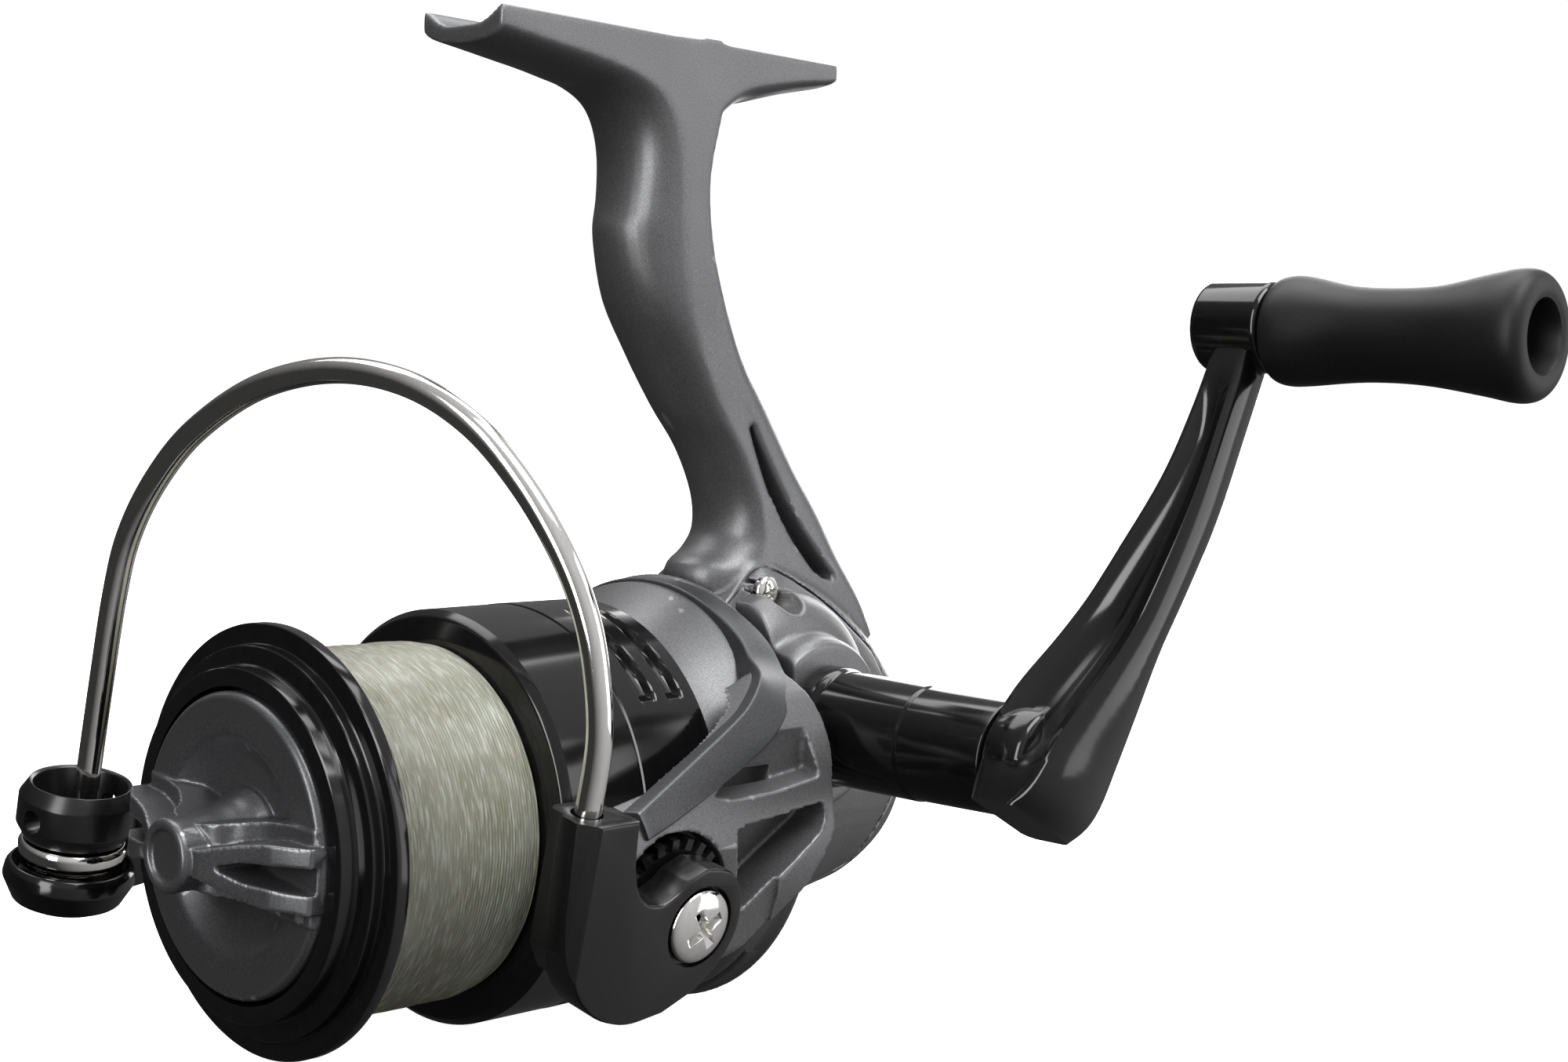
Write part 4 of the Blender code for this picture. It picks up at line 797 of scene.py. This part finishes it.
def fishing_line():
    """Many turns of line. Each turn is a small ridge, and the pile is a little uneven."""
    profile = []
    for place in np.arange(0.85, 19.95, 0.1):
        pile = 20.25 - 0.35 * float(smoothstep(3.0, 0.8, place) + smoothstep(17.5, 20, place))
        profile.append((pile + 0.05 * math.sin(2 * math.pi * place / 0.4), float(place)))
    profile = [(18.5, 0.8), *profile, (18.5, 19.95)]

    def uneven(radius, place, angle):
        if radius < 19:
            return radius, place
        wave = math.sin(3 * angle + place) * 0.03 + math.sin(17 * angle + 2.3 * place) * 0.015
        return radius + wave, place

    line = lathe(profile, "Y", 200, shape=uneven)
    piece("wound_line", line, REEL, "spool", "mono", MONO, "fishing_line", angle=60)


def wing(sign, outline, profile):
    """Half of the knob's grip bar: an outline seen from the front, cut to a profile seen from above."""
    front = outline + [(x, -z) for x, z in reversed(outline)]
    seen = prism([(sign * x, z) for x, z in front], -15.0, -3.2, "Y")
    return common(seen, prism([(sign * x, y) for x, y in profile], -6, 6, "Z"))


def drag_knob():
    """The drag knob: a dished disc with a hub and two forked wings that rise to its rim."""
    disc = [(0, -3.6), (8.9, -3.8, 1.2), (11.8, -5.98, 0.5), (15.9, -6.1, 0.2), (16.4, -5.5, 0.3),
            (16.4, -1.5), (16.1, -1.2), (15.0, -1.2), (8.0, -2.6), (0, -2.6)]
    knob = lathe(rounded(disc, 0.1, closed=False), "Y", 192)
    hub = [(0, -3.5), (6.6, -3.9), (5.0, -5.6), (4.2, -8.0), (3.9, -11.0), (3.95, -13.6, 0.4),
           (3.6, -14.0, 0.2), (2.9, -14.0, 0.2), (2.6, -13.4, 0.2), (0, -13.4)]
    parts = [lathe(rounded(hub, 0.8, closed=False), "Y", 96)]
    for sign in (1, -1):
        top = rounded([(1.0, 1.5), (4.2, 1.35, 2.0), (7.0, 2.3, 2.0), (11.6, 3.35, 1.0), (16.15, 3.45)],
                      1.0, closed=False)
        rise = 0.0 if sign > 0 else 0.9
        profile = [(1, -3.2), (1, -13.2), (4.0, -13.1), (6.0, -12.2), (9.0, -10.9), (12.5, -9.4 - rise, 0.3),
                   (14.4, -8.3 - rise), (16.2, -7.0 - rise, 0.3), (16.2, -3.2)]
        parts.append(wing(sign, top, rounded(profile, 1.2)))
        web = [(1.0, 3.4), (4.0, 3.8), (8.0, 4.6), (12.0, 5.0), (15.6, 5.0)]
        ledge = [(1, -3.2), (1, -11.6), (3.6, -10.8), (5.4, -8.6), (8.6, -7.0), (12.0, -6.5), (15.6, -6.3),
                 (15.6, -3.2)]
        parts.append(wing(sign, web, rounded(ledge, 1.0)))
    join(knob, *parts)
    slot = rounded([(6.6, 0.25), (9.4, 1.05), (17.4, 1.5), (17.4, -1.5), (9.4, -1.05), (6.6, -0.25)], 0.3)
    cutters = [prism([(sign * x, z) for x, z in slot], -16, -6.2, "Y") for sign in (1, -1)]
    cutters += [prism([(-17, z), (-15.5, z + 0.3), (-17, z + 0.6)], -16, -8.2, "Y")
                for z in (-2.4, -1.2, 0.6, 1.8)]
    cutters.append(lathe(rod(3.5, -10.4, 0), "Y", 48))
    cut(knob, *cutters)
    cast(knob, 0.18, 2, 0.45)
    knob.data.transform(Matrix.Rotation(math.radians(3), 4, "Y"))
    piece("drag_dial", knob, REEL, "drag", "satin_dark", DARK_GREY, "drag_knob", angle=50)


# ------------------------------------------------------------------ handle
def sleeve():
    profile = [(0, 48.9), (6.6, 48.9, 0.3), (6.75, 37.2, 0.1), (6.9, 36.7, 0.1), (6.9, 24.0, 0.3),
               (7.3, 23.0, 0.3), (7.3, 21.1, 0.3), (3.3, 20.95), (3.3, 46.3), (0, 46.3)]
    turned = lathe(rounded(profile, 0.2, closed=False), "X", 128)
    piece("handle_sleeve", turned, DRIVE, "handle", "gloss_black", BLACK, "handle_shaft")


def handle_arm():
    inner = spline([(49.6, -7.0), (49.2, -3.0), (49.2, 5.4), (51.4, 14.4), (54.2, 24.4), (57.0, 35.4),
                    (57.9, 45.0), (58.0, 54.0)], 6)
    outer = spline([(56.0, -7.0), (58.2, -4.0), (59.4, 2.6), (61.2, 12.0), (62.6, 22.0), (63.5, 33.0),
                    (63.4, 44.0), (63.2, 54.0)], 6)
    sections = []
    for (x_in, z_in), (x_out, z_out) in zip(inner, outer):
        z = (z_in + z_out) / 2
        half = 2.95 + 3.5 * float(smoothstep(20.0, -2.0, z))
        flute = 1.5 * float(smoothstep(-4.5, 3.0, z) * smoothstep(50, 40, z))
        face = [(x_in + 1.0 + (x_out - x_in - 1.9) * s, -half + flute * math.sin(math.pi * s) ** 0.75)
                for s in np.linspace(0, 1, 13)]
        outline = [(x_in, half - 1.2), (x_in, -half + 1.0), (x_in + 0.35, -half + 0.3), *face,
                   (x_out - 0.35, -half + 0.25), (x_out, -half + 0.8), (x_out, half - 1.2),
                   (x_out - 0.5, half - 0.4), (x_out - 1.3, half), (x_in + 1.3, half), (x_in + 0.5, half - 0.4)]
        sections.append([(x, t, z_in + (z_out - z_in) * (x - x_in) / max(0.1, x_out - x_in))
                         for x, t in outline])
    arm = loft(sections)
    root_profile = [(0, 49.2), (6.7, 49.2), (6.75, 52.0), (6.3, 54.4), (0, 55.2)]
    root = lathe(rounded(root_profile, 0.8, closed=False), "X", 96)
    head_profile = [(0, 55.3), (5.0, 55.3), (5.35, 55.8), (5.35, 63.7), (5.0, 64.2), (0, 64.2)]
    head = lathe(rounded(head_profile, 0.3, closed=False), "X", 96, (0, 0, THROW + 0.4))
    join(arm, root, head)
    cut(arm, lathe(rod(2.3, 57, 80), "X", 32, (0, 0, THROW)))
    piece("crank_arm", arm, HANDLE, "handle", "gloss_black", BLACK, "handle_arm", angle=38)


def handle_knob():
    outer = spline([(5.2, 64.7), (6.0, 65.2), (6.35, 66.6), (6.25, 69.0), (5.6, 76.0), (5.7, 83.0), (6.6, 90.0),
                    (7.2, 93.6), (7.1, 95.4), (6.4, 96.4), (5.2, 96.8), (4.2, 96.5)], 6)
    inner = [(4.0, 96.0), (4.0, 90.4), (2.4, 90.2), (2.4, 64.7)]

    def scalloped(radius, place, angle):
        waist = float(smoothstep(67, 74, place) * smoothstep(92, 84, place)) if radius > 4.3 else 0.0
        return radius - 0.55 * waist * (0.5 + 0.5 * math.cos(3 * angle)), place

    knob = lathe(outer + inner, "X", 120, (0, 0, THROW), scalloped)
    piece("grip", knob, HANDLE, "knob", "knob_rubber", RUBBER, "handle_knob", angle=45)


# ------------------------------------------------------------------ building
body_housing()
side_cover()
small_frame_pieces()
rotor()
ribbon(1)
ribbon(-1)
ribbed_hub()
rotor_screws()
bail_holder()
bail_wire()
bail_lever()
roller_set()
spool()
fishing_line()
drag_knob()
sleeve()
handle_arm()
handle_knob()

# The CAD parts that no piece replaces are inside. Each gets the finish that its own material's name asks for.
INNER_FINISHES = {"brass": BRASS, "alloy": ALLOY, "alumin": ALLOY, "felt": FELT, "fibre": FELT}
for node in frame["nodes"].values():
    if not node.hide_render:
        old = node.data.materials[0].name.lower() if node.data.materials and node.data.materials[0] else ""
        chosen = STEEL
        for key, made in INNER_FINISHES.items():
            if key in old:
                chosen = made
        node.data.materials.clear()
        node.data.materials.append(chosen)


# ------------------------------------------------------------------ stage, light and camera
def look_at(obj, target):
    obj.rotation_euler = (target - obj.location).to_track_quat("-Z", "Y").to_euler()


SENSOR_WIDTH, LENS = 36.0, 52.2
CAMERA_PLACE = Vector((202.6, -140.8, 52.5))
YAW, PITCH, ROLL = math.radians(42.78), math.radians(-4.07), math.radians(2.3)
FORWARD = Vector((-math.sin(YAW) * math.cos(PITCH), math.cos(YAW) * math.cos(PITCH), math.sin(PITCH)))
RIGHT = Vector((math.cos(YAW), math.sin(YAW), 0))
UP = RIGHT.cross(FORWARD)


def add_camera():
    data = bpy.data.cameras.new("camera")
    data.sensor_width = SENSOR_WIDTH
    data.lens = LENS
    data.clip_start = 0.01
    camera = bpy.data.objects.new("camera", data)
    bpy.context.scene.collection.objects.link(camera)
    right = RIGHT * math.cos(ROLL) + UP * math.sin(ROLL)
    up = UP * math.cos(ROLL) - RIGHT * math.sin(ROLL)
    place = Matrix((right, up, -FORWARD)).transposed().to_4x4()
    place.translation = AXIS + CAMERA_PLACE * MM
    camera.matrix_world = place
    bpy.context.scene.camera = camera


# Each light: its name, its direction (right, up and away, as the camera sees them), its distance and its
# panel's size in metres, and its power in watts. All aim at LIT_POINT, in the middle of the reel.
LIT_POINT = Vector((5, 40, 25))
LIGHTS = [
    ("side", (1.0, 0.15, 0.0), 0.9, (0.5, 0.8), 2.2),
    ("key", (0.45, 0.9, -0.35), 0.75, (0.5, 0.4), 5.0),
    ("top", (-0.1, 1.0, 0.3), 0.7, (0.8, 0.4), 4.0),
    ("front", (-0.42, 0.2, -0.9), 0.85, (0.28, 0.9), 6.0),
    ("back", (0.3, 0.3, 0.9), 0.8, (0.4, 0.5), 3.0),
]


def soft_light(name, direction, distance, size, power):
    data = bpy.data.lights.new(name, "AREA")
    data.shape = "RECTANGLE"
    data.size, data.size_y = size
    data.energy = power
    light = bpy.data.objects.new(name, data)
    bpy.context.scene.collection.objects.link(light)
    aim = AXIS + LIT_POINT * MM
    toward = (RIGHT * direction[0] + UP * direction[1] + FORWARD * direction[2]).normalized()
    light.location = aim + toward * distance
    look_at(light, aim)


def add_stage():
    low = min(CAD_BOX[0][2], CAD_BOX[1][2])
    bpy.ops.mesh.primitive_plane_add(size=30, location=(0, 0, low - 0.0005))
    floor = bpy.context.object
    floor.name = "floor"
    made = bpy.data.materials.new("pale_floor")
    made.use_nodes = True
    shader = made.node_tree.nodes["Principled BSDF"]
    tree = made.node_tree
    tone = mixed(tree, spread(tree, noise(tree, 3), 0, 1), (0.9, 0.9, 0.9), (0.93, 0.93, 0.93))
    tree.links.new(tone, shader.inputs["Base Color"])
    shader.inputs["Roughness"].default_value = 0.9
    shader.inputs["Emission Color"].default_value = (1, 1, 1, 1)
    shader.inputs["Emission Strength"].default_value = 0.95
    floor.data.materials.append(made)
    floor.visible_glossy = False
    floor.visible_diffuse = False


def add_world():
    world = bpy.data.worlds.new("studio")
    bpy.context.scene.world = world
    world.use_nodes = True
    tree = world.node_tree
    background = tree.nodes["Background"]
    white = add(tree, "ShaderNodeBackground")
    white.inputs["Color"].default_value = (1, 1, 1, 1)
    white.inputs["Strength"].default_value = 1.05
    where = add(tree, "ShaderNodeTexCoord")
    toward = add(tree, "ShaderNodeVectorMath", operation="DOT_PRODUCT")
    toward.inputs[1].default_value = (RIGHT * 0.75 + UP * 0.6 - FORWARD * 0.25).normalized()
    tree.links.new(where.outputs["Generated"], toward.inputs[0])
    height = spread(tree, toward.outputs["Value"], 0, 1, -0.55, 0.8)
    tone = mixed(tree, height, (0.06, 0.06, 0.06), (1.0, 1.0, 1.01))
    tree.links.new(tone, background.inputs["Color"])
    background.inputs["Strength"].default_value = 0.62
    path = add(tree, "ShaderNodeLightPath")
    blend = add(tree, "ShaderNodeMixShader")
    tree.links.new(path.outputs["Is Camera Ray"], blend.inputs[0])
    tree.links.new(background.outputs[0], blend.inputs[1])
    tree.links.new(white.outputs[0], blend.inputs[2])
    tree.links.new(blend.outputs[0], tree.nodes["World Output"].inputs["Surface"])


add_camera()
for light_row in LIGHTS:
    soft_light(*light_row)
add_stage()
add_world()
bpy.context.scene.view_settings.view_transform = "Standard"
